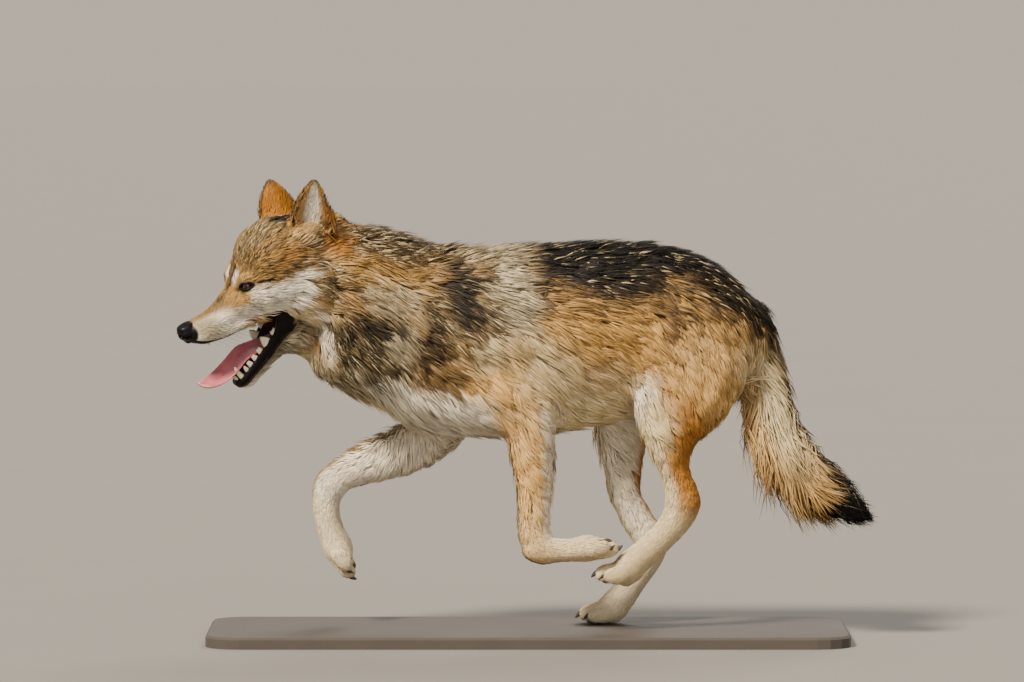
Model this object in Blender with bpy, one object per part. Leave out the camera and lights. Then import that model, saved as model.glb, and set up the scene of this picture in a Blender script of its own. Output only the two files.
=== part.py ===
"""A running gray wolf, life size, on a plain flat base.

The wolf faces -Y and its left side is +X. It runs with one hind foot, the
right one, down on the base, the head low and turned to the left, the mouth
open and the tail trailing. Every solid follows the tips of the coat. Each
mass of the body is lofted through oval stations, fused, and then parted
into its named pieces by thin flat cuts.
"""

import bpy
import bmesh
import math
from mathutils import Matrix, Vector

# ---------------------------------------------------------------- sizes (m)
GAP = 0.0003                      # clearance between neighbouring solids
BODY_TRIANGLES = 1250             # how finely each rounded piece is faceted
HEAD_TRIANGLES = 1000
JAW_TRIANGLES = 280
FOOT_TRIANGLES = 230
NOSE_TRIANGLES = 130
BASE_LENGTH = 1.10
BASE_WIDTH = 0.40
BASE_THICK = 0.020
BASE_CORNER = 0.060
BASE_EDGE = 0.004

HEAD_AT = Vector((0.060, -0.487, 0.623))   # midway between the eyes
HEAD_PITCH = math.radians(23)     # nose down
HEAD_YAW = math.radians(20)       # nose to the wolf's left
HEAD_ROLL = math.radians(12)      # left cheek down
GAPE = math.radians(30)           # how far the lower jaw has swung open
JAW_HINGE = (0.070, -0.050)       # behind and above the eyes, in the head's frame

EYE_RADIUS = 0.0125
EYE_AT = (0.0325, -0.004, 0.000)  # sideways, back, up from HEAD_AT

FORELEG_SPREAD = 0.078            # half the distance between the forelegs
HINDLEG_SPREAD = 0.068

CLAW_LENGTH = 0.017
CLAW_THICK = 0.0033

# ---------------------------------------------------------------- materials
FLESH = ("ochre coat", "B08A5C", 0.85)
DARK = ("black skin", "17130F", 0.45)
PINK = ("tongue", "C9707A", 0.35)
AMBER = ("amber eye", "6B4218", 0.08)
HORN = ("claw horn", "2A241E", 0.40)
PAINT = ("painted board", "55504A", 0.60)


def linear(part):
    part = int(part, 16) / 255
    return part / 12.92 if part <= 0.04045 else ((part + 0.055) / 1.055) ** 2.4


def coat_with(obj, finish):
    name, colour, roughness = finish
    material = bpy.data.materials.new(obj.name + " " + name)
    material.use_nodes = True
    shader = material.node_tree.nodes["Principled BSDF"]
    rgb = [linear(colour[i:i + 2]) for i in (0, 2, 4)]
    shader.inputs["Base Color"].default_value = (*rgb, 1)
    shader.inputs["Roughness"].default_value = roughness
    shader.inputs["Metallic"].default_value = 0.0
    material.diffuse_color = (*rgb, 1)
    obj.data.materials.clear()
    obj.data.materials.append(material)
    for polygon in obj.data.polygons:
        polygon.use_smooth = True


# ------------------------------------------------------------ shape helpers
def new_object(name, mesh_in_progress):
    mesh = bpy.data.meshes.new(name)
    bmesh.ops.recalc_face_normals(mesh_in_progress, faces=mesh_in_progress.faces)
    mesh_in_progress.to_mesh(mesh)
    mesh_in_progress.free()
    obj = bpy.data.objects.new(name, mesh)
    bpy.context.collection.objects.link(obj)
    return obj


def drop(obj):
    bpy.data.objects.remove(obj, do_unlink=True)


def eased(stations, steps):
    """Extra stations on a Catmull-Rom curve through the given ones."""
    count = len(stations)
    result = []
    for i in range(count - 1):
        rows = [stations[max(i - 1, 0)], stations[i]]
        rows += [stations[i + 1], stations[min(i + 2, count - 1)]]
        for step in range(steps):
            t = step / steps
            result.append(tuple(
                0.5 * (2 * b + (c - a) * t + (2 * a - 5 * b + 4 * c - d) * t * t
                       + (3 * b - a - 3 * c + d) * t ** 3)
                for a, b, c, d in zip(*rows)))
    result.append(stations[-1])
    return result


def squircle(value, power):
    return math.copysign(abs(value) ** (2 / power), value)


def loft(name, rings):
    """A closed tube through rings of points, each a list of equal length."""
    build = bmesh.new()
    loops = [[build.verts.new(p) for p in ring] for ring in rings]
    count = len(loops[0])
    for near, far in zip(loops, loops[1:]):
        for i in range(count):
            j = (i + 1) % count
            build.faces.new((near[i], near[j], far[j], far[i]))
    build.faces.new(loops[0])
    build.faces.new(loops[-1])
    return new_object(name, build)


def slabs(name, stations, sides=24, power=2.2, keel=0.0, crest=0.0, steps=2):
    """A body along Y from (y, x, top, bottom, half width) stations.

    keel narrows the lower half of each ring and crest the upper half."""
    rings = []
    for y, x, top, bottom, wide in eased(stations, steps):
        middle = (top + bottom) / 2
        tall = (top - bottom) / 2
        ring = []
        for i in range(sides):
            angle = 2 * math.pi * i / sides
            up = squircle(math.sin(angle), power)
            pinch = 1 - (crest * max(up, 0) ** 2 + keel * max(-up, 0) ** 2)
            out = squircle(math.cos(angle), power) * wide * pinch
            ring.append((x + out, y, middle + up * tall))
        rings.append(ring)
    return loft(name, rings)


def limb(name, stations, sides=14, steps=2, power=2.1):
    """A tube along a path of (x, y, z, half depth, half width) stations."""
    eased_rows = eased(stations, steps)
    points = [Vector(row[:3]) for row in eased_rows]
    rings = []
    for i, row in enumerate(eased_rows):
        ahead = points[min(i + 1, len(points) - 1)] - points[max(i - 1, 0)]
        side = Vector((1, 0, 0))
        ahead.normalize()
        side = (side - ahead * side.dot(ahead)).normalized()
        deep = ahead.cross(side)
        ring = []
        for k in range(sides):
            angle = 2 * math.pi * k / sides
            out = side * squircle(math.cos(angle), power) * row[4]
            ring.append(points[i] + out + deep * squircle(math.sin(angle), power) * row[3])
        rings.append(ring)
    return loft(name, rings)


def egg(name, centre, radii, turn=None, rings=10, sides=14):
    """An ellipsoid with its own turn about its centre."""
    build = bmesh.new()
    bmesh.ops.create_uvsphere(build, u_segments=sides, v_segments=rings, radius=1)
    place = Matrix.Translation(centre) @ (turn or Matrix()).to_4x4() @ Matrix.Diagonal((*radii, 1))
    build.transform(place)
    return new_object(name, build)


def evaluated(obj):
    """Bake the object's modifiers into its mesh."""
    graph = bpy.context.evaluated_depsgraph_get()
    mesh = bpy.data.meshes.new_from_object(obj.evaluated_get(graph))
    obj.modifiers.clear()
    obj.data = mesh
    return obj


def joined(name, pieces):
    build = bmesh.new()
    for piece in pieces:
        build.from_mesh(piece.data)
        drop(piece)
    mesh = bpy.data.meshes.new(name)
    build.to_mesh(mesh)
    build.free()
    obj = bpy.data.objects.new(name, mesh)
    bpy.context.collection.objects.link(obj)
    return obj


def fused(name, pieces, voxel, smoothing):
    """One skin over overlapping pieces, smoothed."""
    obj = joined(name, pieces)
    remesh = obj.modifiers.new("fuse", "REMESH")
    remesh.mode = "VOXEL"
    remesh.voxel_size = voxel
    return softened(evaluated(obj), smoothing)


def softened(obj, times):
    soften = obj.modifiers.new("soften", "SMOOTH")
    soften.factor = 0.5
    soften.iterations = times
    return evaluated(obj)


def thinned(obj, triangles):
    """Fewer, larger triangles where the surface is nearly flat."""
    build = bmesh.new()
    build.from_mesh(obj.data)
    bmesh.ops.triangulate(build, faces=build.faces)
    present = len(build.faces)
    build.to_mesh(obj.data)
    build.free()
    thin = obj.modifiers.new("thin", "DECIMATE")
    thin.ratio = min(1.0, triangles / present)
    thin.use_collapse_triangulate = True
    return evaluated(obj)


def carved(obj, cutter, operation="DIFFERENCE", keep_cutter=False, solver="EXACT"):
    boolean = obj.modifiers.new("carve", "BOOLEAN")
    boolean.operation = operation
    boolean.solver = solver
    boolean.object = cutter
    cutter.hide_render = True
    cutter.display_type = "WIRE"
    evaluated(obj)
    if not keep_cutter:
        drop(cutter)
    return obj


def grown(obj, by):
    """A copy of the object, swollen along its normals, to cut others with."""
    copy = bpy.data.objects.new(obj.name + " cutter", obj.data.copy())
    bpy.context.collection.objects.link(copy)
    swell = copy.modifiers.new("swell", "DISPLACE")
    swell.mid_level = 0
    swell.strength = by
    return evaluated(copy)


def half(obj, name, point, normal):
    """The part of the object ahead of a plane, capped, as a new object."""
    build = bmesh.new()
    build.from_mesh(obj.data)
    place = Vector(point) + Vector(normal).normalized() * GAP / 2
    geometry = build.verts[:] + build.edges[:] + build.faces[:]
    cut = bmesh.ops.bisect_plane(build, geom=geometry, plane_co=place, dist=1e-7,
                                 plane_no=Vector(normal), clear_inner=True)
    edges = [e for e in cut["geom_cut"] if isinstance(e, bmesh.types.BMEdge)]
    bmesh.ops.triangle_fill(build, edges=edges, use_beauty=True)
    return new_object(name, build)


def parted(obj, ahead_name, behind_name, point, normal):
    """Two capped objects, one on each side of a plane, a gap apart."""
    ahead = half(obj, ahead_name, point, normal)
    behind = half(obj, behind_name, point, -Vector(normal))
    drop(obj)
    return ahead, behind


def largest_body(obj):
    """Drop the loose scraps that a cut leaves, keeping the biggest body."""
    build = bmesh.new()
    build.from_mesh(obj.data)
    waiting = set(build.verts)
    groups = []
    while waiting:
        group = [waiting.pop()]
        for vert in group:
            for edge in vert.link_edges:
                other = edge.other_vert(vert)
                if other in waiting:
                    waiting.remove(other)
                    group.append(other)
        groups.append(group)
    groups.sort(key=len)
    for group in groups[:-1]:
        bmesh.ops.delete(build, geom=group, context="VERTS")
    bmesh.ops.triangulate(build, faces=build.faces)
    build.to_mesh(obj.data)
    build.free()
    return obj


# ------------------------------------------------------------- trunk, neck
TORSO = (  # y, x, top, bottom, half width: from the chest to the rump
    (-0.285, 0.004, 0.640, 0.450, 0.060),
    (-0.260, 0.003, 0.672, 0.400, 0.090),
    (-0.220, 0.002, 0.682, 0.366, 0.108),
    (-0.160, 0.000, 0.683, 0.346, 0.121),
    (-0.080, 0.000, 0.684, 0.342, 0.127),
    (0.000, 0.000, 0.686, 0.345, 0.129),
    (0.080, 0.000, 0.688, 0.353, 0.127),
    (0.140, 0.000, 0.690, 0.366, 0.121),
    (0.190, 0.000, 0.690, 0.388, 0.114),
    (0.240, 0.000, 0.685, 0.405, 0.109),
    (0.290, 0.000, 0.671, 0.420, 0.105),
    (0.330, 0.000, 0.652, 0.432, 0.098),
    (0.365, 0.000, 0.622, 0.448, 0.086),
    (0.395, 0.000, 0.590, 0.468, 0.070),
    (0.420, 0.000, 0.556, 0.490, 0.046),
)
NECK = (  # x, y, z, half depth, half width: from the shoulders to the head
    (0.000, -0.150, 0.530, 0.140, 0.105),
    (0.002, -0.215, 0.540, 0.152, 0.112),
    (0.006, -0.268, 0.560, 0.152, 0.112),
    (0.011, -0.312, 0.582, 0.146, 0.112),
    (0.016, -0.352, 0.596, 0.130, 0.114),
    (0.022, -0.392, 0.603, 0.108, 0.108),
    (0.032, -0.425, 0.606, 0.076, 0.086),
)
NECK_CUT = ((0.0, -0.262, 0.55), (0.05, -1.0, 0.18))
NAPE_CUT = ((0.0, 0.150, 0.050), (0.0, -0.917, 0.397))   # in the head's frame
WAIST_CUT = ((0.0, 0.120, 0.50), (0.0, -1.0, 0.0))
TAIL = (  # x, y, z, half depth, half width: from its root to its tip
    (0.000, 0.360, 0.570, 0.045, 0.045),
    (0.000, 0.385, 0.530, 0.048, 0.046),
    (0.002, 0.398, 0.480, 0.050, 0.044),
    (0.005, 0.410, 0.425, 0.056, 0.046),
    (0.008, 0.425, 0.370, 0.063, 0.050),
    (0.011, 0.452, 0.318, 0.066, 0.051),
    (0.014, 0.492, 0.274, 0.059, 0.045),
    (0.016, 0.532, 0.242, 0.042, 0.034),
    (0.018, 0.568, 0.219, 0.024, 0.020),
    (0.019, 0.600, 0.204, 0.003, 0.003),
)
SHOULDER = ((0.070, -0.120, 0.500), (0.052, 0.115, 0.130))
UPPER_ARM = ((0.078, -0.050, 0.420), (0.046, 0.105, 0.062))


def make_trunk():
    pieces = [slabs("torso", TORSO, keel=0.30, crest=0.16), limb("nape", NECK, sides=22)]
    for side in (1, -1):
        for (x, y, z), radii in (SHOULDER, UPPER_ARM):
            pieces.append(egg("shoulder", (side * x, y, z), radii))
    return fused("body", pieces, 0.008, 8)


# ------------------------------------------------------------------- legs
NEAR_FORELEG = (  # side offset, y, z, half depth, half width
    (0.000, -0.030, 0.455, 0.070, 0.040),
    (0.002, -0.005, 0.405, 0.062, 0.042),
    (0.003, 0.004, 0.360, 0.050, 0.040),
    (0.002, 0.006, 0.318, 0.044, 0.035),
    (0.000, 0.009, 0.275, 0.038, 0.031),
    (-0.002, 0.010, 0.235, 0.032, 0.028),
    (-0.004, 0.010, 0.200, 0.029, 0.027),
    (-0.005, 0.010, 0.176, 0.029, 0.028),
)
NEAR_FOREFOOT = (
    (-0.005, 0.009, 0.190, 0.028, 0.026),
    (-0.005, 0.012, 0.168, 0.029, 0.028),
    (-0.005, 0.026, 0.158, 0.026, 0.028),
    (-0.004, 0.050, 0.158, 0.021, 0.026),
    (-0.003, 0.078, 0.159, 0.021, 0.027),
    (-0.002, 0.104, 0.162, 0.023, 0.031),
    (-0.002, 0.122, 0.165, 0.019, 0.029),
)
FAR_FORELEG = (
    (0.000, -0.120, 0.430, 0.060, 0.040),
    (0.002, -0.150, 0.375, 0.060, 0.042),
    (0.003, -0.182, 0.338, 0.052, 0.041),
    (0.002, -0.222, 0.318, 0.047, 0.036),
    (0.000, -0.258, 0.305, 0.041, 0.032),
    (-0.002, -0.292, 0.291, 0.035, 0.029),
    (-0.003, -0.322, 0.277, 0.029, 0.027),
    (-0.004, -0.343, 0.262, 0.028, 0.028),
)
FAR_FOREFOOT = (
    (-0.003, -0.325, 0.274, 0.026, 0.026),
    (-0.004, -0.342, 0.260, 0.029, 0.028),
    (-0.004, -0.350, 0.236, 0.026, 0.027),
    (-0.004, -0.348, 0.206, 0.024, 0.026),
    (-0.003, -0.340, 0.176, 0.024, 0.028),
    (-0.002, -0.328, 0.148, 0.026, 0.031),
    (-0.002, -0.318, 0.130, 0.020, 0.029),
)
NEAR_HINDLEG = (
    (-0.012, 0.285, 0.600, 0.090, 0.040),
    (-0.006, 0.282, 0.545, 0.112, 0.052),
    (-0.002, 0.276, 0.490, 0.115, 0.058),
    (0.002, 0.268, 0.440, 0.101, 0.058),
    (0.004, 0.252, 0.398, 0.082, 0.052),
    (0.004, 0.243, 0.362, 0.060, 0.045),
    (0.002, 0.244, 0.328, 0.039, 0.036),
    (0.000, 0.252, 0.294, 0.027, 0.029),
    (-0.001, 0.261, 0.266, 0.028, 0.027),
    (-0.002, 0.267, 0.240, 0.031, 0.027),
)
NEAR_HINDFOOT = (
    (-0.001, 0.262, 0.268, 0.026, 0.025),
    (-0.002, 0.267, 0.240, 0.031, 0.027),
    (-0.002, 0.256, 0.212, 0.028, 0.027),
    (-0.002, 0.234, 0.185, 0.025, 0.025),
    (-0.002, 0.208, 0.160, 0.025, 0.025),
    (-0.001, 0.182, 0.138, 0.026, 0.029),
    (0.000, 0.162, 0.124, 0.023, 0.032),
    (0.000, 0.148, 0.116, 0.016, 0.030),
)
FAR_HINDLEG = (
    (-0.012, 0.255, 0.600, 0.090, 0.040),
    (-0.006, 0.245, 0.545, 0.105, 0.052),
    (-0.002, 0.232, 0.490, 0.105, 0.057),
    (0.002, 0.208, 0.440, 0.092, 0.057),
    (0.004, 0.182, 0.398, 0.076, 0.052),
    (0.004, 0.163, 0.362, 0.060, 0.046),
    (0.002, 0.160, 0.325, 0.047, 0.038),
    (0.000, 0.162, 0.285, 0.037, 0.031),
    (-0.001, 0.167, 0.245, 0.029, 0.027),
    (-0.002, 0.184, 0.208, 0.027, 0.026),
    (-0.002, 0.208, 0.176, 0.029, 0.026),
)
FAR_HINDFOOT = (
    (-0.002, 0.190, 0.200, 0.025, 0.025),
    (-0.002, 0.212, 0.170, 0.030, 0.027),
    (-0.002, 0.214, 0.145, 0.027, 0.027),
    (-0.002, 0.200, 0.118, 0.024, 0.025),
    (-0.002, 0.181, 0.092, 0.024, 0.025),
    (-0.001, 0.160, 0.063, 0.026, 0.028),
    (0.000, 0.140, 0.0435, 0.026, 0.032),
    (0.000, 0.122, 0.0365, 0.021, 0.031),
)
# Each foot: which way its toes point and which way its back faces, in the
# side plane (y, z), and how far its toes lie ahead of its last station.
FEET = {
    "foreleg_left": (NEAR_FORELEG, NEAR_FOREFOOT, 1, (1.0, 0.02), (0.02, -1.0)),
    "foreleg_right": (FAR_FORELEG, FAR_FOREFOOT, -1, (0.50, -0.87), (-0.87, -0.50)),
    "hindleg_left": (NEAR_HINDLEG, NEAR_HINDFOOT, 1, (-0.97, -0.05), (-0.05, 1.0)),
    "hindleg_right": (FAR_HINDLEG, FAR_HINDFOOT, -1, (-1.0, -0.12), (-0.12, 1.0)),
}
STANDING_FOOT = "hindleg_right"
TOES = (  # sideways, ahead, above the foot's last station; half length, width, height
    (-0.0235, -0.003, -0.004, 0.021, 0.0095, 0.0125),
    (-0.0085, 0.009, 0.000, 0.024, 0.0100, 0.0135),
    (0.0085, 0.009, 0.000, 0.024, 0.0100, 0.0135),
    (0.0235, -0.003, -0.004, 0.021, 0.0095, 0.0125),
)


def spread(stations, side, offset):
    return [(side * (x + offset), y, z, deep, wide) for x, y, z, deep, wide in stations]


def foot_frame(station, toes, back):
    """A matrix whose X is sideways, Y ahead along the toes, Z out of the back."""
    ahead = Vector((0, *toes)).normalized()
    out = Vector((0, *back))
    out = (out - ahead * out.dot(ahead)).normalized()
    side = ahead.cross(out)
    turn = Matrix((side, ahead, out)).transposed()
    return Matrix.Translation(Vector(station[:3])) @ turn.to_4x4()


def make_claw(name, frame, sideways, ahead, above):
    """A short curved horn cone that leaves the toe and bends down."""
    stations = []
    for i in range(4):
        t = i / 3
        thick = CLAW_THICK * (1 - 0.88 * t)
        place = frame @ Vector((sideways, ahead + CLAW_LENGTH * t, above - 0.007 * t * t))
        stations.append((*place, thick * 1.25, thick))
    return limb(name, stations, sides=4, steps=1)


def make_leg(name, spec, body_cutter):
    leg_rows, foot_rows, side, toes, back = spec
    offset = FORELEG_SPREAD if name.startswith("fore") else HINDLEG_SPREAD
    upper = limb(name, spread(leg_rows, side, offset), sides=10)
    foot_stations = spread(foot_rows, side, offset)
    frame = foot_frame(foot_stations[-1], toes, back)
    turn = frame.to_3x3()
    pieces = [limb("foot", foot_stations, sides=14)]
    for x, ahead, above, long, wide, high in TOES:
        place = frame @ Vector((x, ahead, above))
        pieces.append(egg("toe", place, (wide, long, high), turn))
    heel = frame @ Vector((0, -0.020, -0.012))
    pieces.append(egg("pad", heel, (0.018, 0.015, 0.011), turn))
    foot = thinned(fused(name + " foot", pieces, 0.0035, 3), FOOT_TRIANGLES)

    # the ankle cut lies where the leg's last stations and the foot overlap
    ankle = Vector(foot_stations[1][:3])
    along = (Vector(foot_stations[2][:3]) - Vector(foot_stations[0][:3])).normalized()
    lower_foot = largest_body(half(foot, name + "_foot", ankle, along))
    drop(foot)
    if name == STANDING_FOOT:
        sole = half(lower_foot, "sole", (0, 0, BASE_THICK + GAP / 2), (0, 0, 1))
        lower_foot.data = sole.data
        drop(sole)
        largest_body(lower_foot)
    whole_leg = half(upper, name + "_leg", ankle, -along)
    drop(upper)

    knee_row = 3 if name.startswith("fore") else 5
    knee = Vector(spread(leg_rows, side, offset)[knee_row][:3])
    beyond = Vector(spread(leg_rows, side, offset)[knee_row + 1][:3])
    top, low = parted(whole_leg, name + "_lower", name + "_upper", knee, (beyond - knee))
    largest_body(top)
    carved(low, body_cutter, keep_cutter=True, solver="MANIFOLD")
    largest_body(low)
    nodes = [top, low, lower_foot]

    for count, (x, ahead, above, long, wide, high) in enumerate(TOES, 1):
        claw_name = "claw_" + name.replace("leg", "foot") + "_" + str(count)
        claw = make_claw(claw_name, frame, x, ahead + long * 0.80, above + 0.002)
        coat_with(claw, HORN)
        carved(lower_foot, grown(claw, GAP))
        largest_body(lower_foot)
    for node in nodes:
        coat_with(node, FLESH)
    return nodes


# ------------------------------------------------------------------- head
# In the head's own frame: x to the wolf's left, y back, z up, from HEAD_AT.
SKULL = (  # y, x, top, bottom, half width: from the nose back to the nape
    (-0.127, 0.0, -0.037, -0.064, 0.014),
    (-0.119, 0.0, -0.030, -0.070, 0.021),
    (-0.104, 0.0, -0.028, -0.074, 0.0245),
    (-0.083, 0.0, -0.026, -0.078, 0.0275),
    (-0.064, 0.0, -0.020, -0.079, 0.0295),
    (-0.048, 0.0, -0.012, -0.077, 0.0315),
    (-0.034, 0.0, -0.001, -0.075, 0.0350),
    (-0.020, 0.0, 0.014, -0.073, 0.0400),
    (-0.005, 0.0, 0.034, -0.072, 0.0480),
    (0.010, 0.0, 0.052, -0.072, 0.0570),
    (0.030, 0.0, 0.068, -0.077, 0.0670),
    (0.055, 0.0, 0.076, -0.100, 0.0760),
    (0.085, 0.0, 0.076, -0.126, 0.0840),
    (0.115, 0.0, 0.069, -0.140, 0.0880),
    (0.150, 0.0, 0.058, -0.136, 0.0860),
    (0.180, 0.0, 0.045, -0.110, 0.0700),
)
LOWER_JAW = (  # mouth closed; y, x, top, bottom, half width
    (-0.114, 0.0, -0.077, -0.089, 0.0090),
    (-0.106, 0.0, -0.074, -0.095, 0.0155),
    (-0.088, 0.0, -0.071, -0.100, 0.0195),
    (-0.060, 0.0, -0.067, -0.101, 0.0220),
    (-0.033, 0.0, -0.064, -0.101, 0.0265),
    (-0.005, 0.0, -0.060, -0.100, 0.0330),
    (0.020, 0.0, -0.056, -0.101, 0.0410),
    (0.045, 0.0, -0.050, -0.102, 0.0490),
    (0.068, 0.0, -0.045, -0.098, 0.0520),
)
TONGUE = (  # y, z, half width, thickness, roll in degrees: root to tip
    (0.030, -0.098, 0.018, 0.010, 0),
    (0.002, -0.103, 0.021, 0.011, 6),
    (-0.028, -0.109, 0.0215, 0.011, 16),
    (-0.048, -0.118, 0.021, 0.010, 24),
    (-0.072, -0.132, 0.0205, 0.009, 28),
    (-0.097, -0.141, 0.0185, 0.008, 26),
    (-0.120, -0.143, 0.0145, 0.007, 20),
    (-0.132, -0.140, 0.0095, 0.005, 15),
    (-0.137, -0.138, 0.0030, 0.002, 15),
)
TONGUE_X = 0.002
TONGUE_GROOVE = 0.30              # depth of the groove over the half width
# Ears: root, tip, and how far the opening looks sideways from straight ahead
EARS = {
    "ear_left": (Vector((0.056, 0.118, 0.034)), Vector((0.064, 0.157, 0.134)), math.radians(68)),
    "ear_right": (Vector((-0.054, 0.106, 0.034)), Vector((-0.063, 0.117, 0.122)), math.radians(98)),
}
EAR_LEAF = (  # how far up the ear, half width, thickness
    (-0.10, 0.030, 0.012),
    (0.12, 0.035, 0.010),
    (0.35, 0.0350, 0.008),
    (0.58, 0.0300, 0.0065),
    (0.78, 0.0215, 0.0055),
    (0.92, 0.0120, 0.0045),
    (1.00, 0.0030, 0.0030),
)
EAR_CUP = 0.42                    # depth of the hollow over its half width


def head_matrix():
    turn = (Matrix.Rotation(HEAD_YAW, 4, "Z") @ Matrix.Rotation(HEAD_PITCH, 4, "X")
            @ Matrix.Rotation(HEAD_ROLL, 4, "Y"))
    return Matrix.Translation(HEAD_AT) @ turn


def jaw_matrix():
    """Swings a closed jaw open about its hinge, in the head's frame."""
    hinge = Matrix.Translation((0, *JAW_HINGE))
    return hinge @ Matrix.Rotation(GAPE, 4, "X") @ hinge.inverted()


def moved(obj, matrix):
    obj.data.transform(matrix)
    return obj


def row_of_teeth(side, rows, direction, root):
    """Pointed cones along one side of a jaw; rows are (forward, out, height, girth)."""
    teeth = []
    for forward, out, height, girth in rows:
        stations = [
            (side * out, -forward, root - direction * 0.004, girth, girth * 0.7),
            (side * out, -forward, root + direction * height * 0.5, girth * 0.8, girth * 0.6),
            (side * out, -forward, root + direction * height, girth * 0.15, girth * 0.15),
        ]
        teeth.append(limb("tooth", stations, sides=4, steps=1))
    return teeth


UPPER_TEETH = (  # forward, out, height, half length
    (0.112, 0.007, 0.007, 0.0040),
    (0.102, 0.0155, 0.015, 0.0050),
    (0.066, 0.0195, 0.008, 0.0055),
    (0.043, 0.0225, 0.010, 0.0095),
)
LOWER_TEETH = (
    (0.106, 0.005, 0.007, 0.0040),
    (0.096, 0.0125, 0.016, 0.0050),
    (0.077, 0.0150, 0.006, 0.0040),
    (0.062, 0.0165, 0.008, 0.0050),
    (0.045, 0.0190, 0.010, 0.0055),
    (0.022, 0.0240, 0.014, 0.0100),
)


def make_tongue():
    """A flat strap with a groove along its top, rolled towards the left."""
    rings = []
    for y, z, wide, thick, roll in eased(TONGUE, 1):
        turn = Matrix.Rotation(math.radians(roll), 3, "Y")
        ring = []
        arc = [-1 + 2 * i / 6 for i in range(7)]
        for t in arc:
            groove = TONGUE_GROOVE * wide * (t * t - 1)
            ring.append(Vector((wide * t, 0, groove)))
        for t in (0.8, 0.3, -0.3, -0.8):
            under = TONGUE_GROOVE * wide * (t * t - 1) - thick * (1 - t * t * 0.5)
            ring.append(Vector((wide * t, 0, under)))
        rings.append([turn @ p + Vector((TONGUE_X, y, z)) for p in ring])
    return loft("tongue", rings)


def make_ear(name):
    """A cupped leaf: each ring is a thin crescent across the ear."""
    root, tip, turn = EARS[name]
    side = 1 if tip.x > 0 else -1
    axis = (tip - root).normalized()
    looks = Vector((side * math.sin(turn), -math.cos(turn), 0))
    looks = (looks - axis * looks.dot(axis)).normalized()
    across = axis.cross(looks)
    rings = []
    arc = [-1 + i / 2.5 for i in range(6)]
    for height, wide, thick in eased(EAR_LEAF, 1):
        centre = root.lerp(tip, height)
        ring = []
        for t in arc:
            hollow = EAR_CUP * wide * (1 - t * t)
            ring.append(centre + across * wide * t - looks * hollow)
        for t in arc[::-1]:
            back = EAR_CUP * wide * (1 - t * t) + thick * (0.3 + 0.7 * (1 - t * t))
            ring.append(centre + across * wide * t - looks * back)
        rings.append(ring)
    return loft(name, rings)


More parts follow.
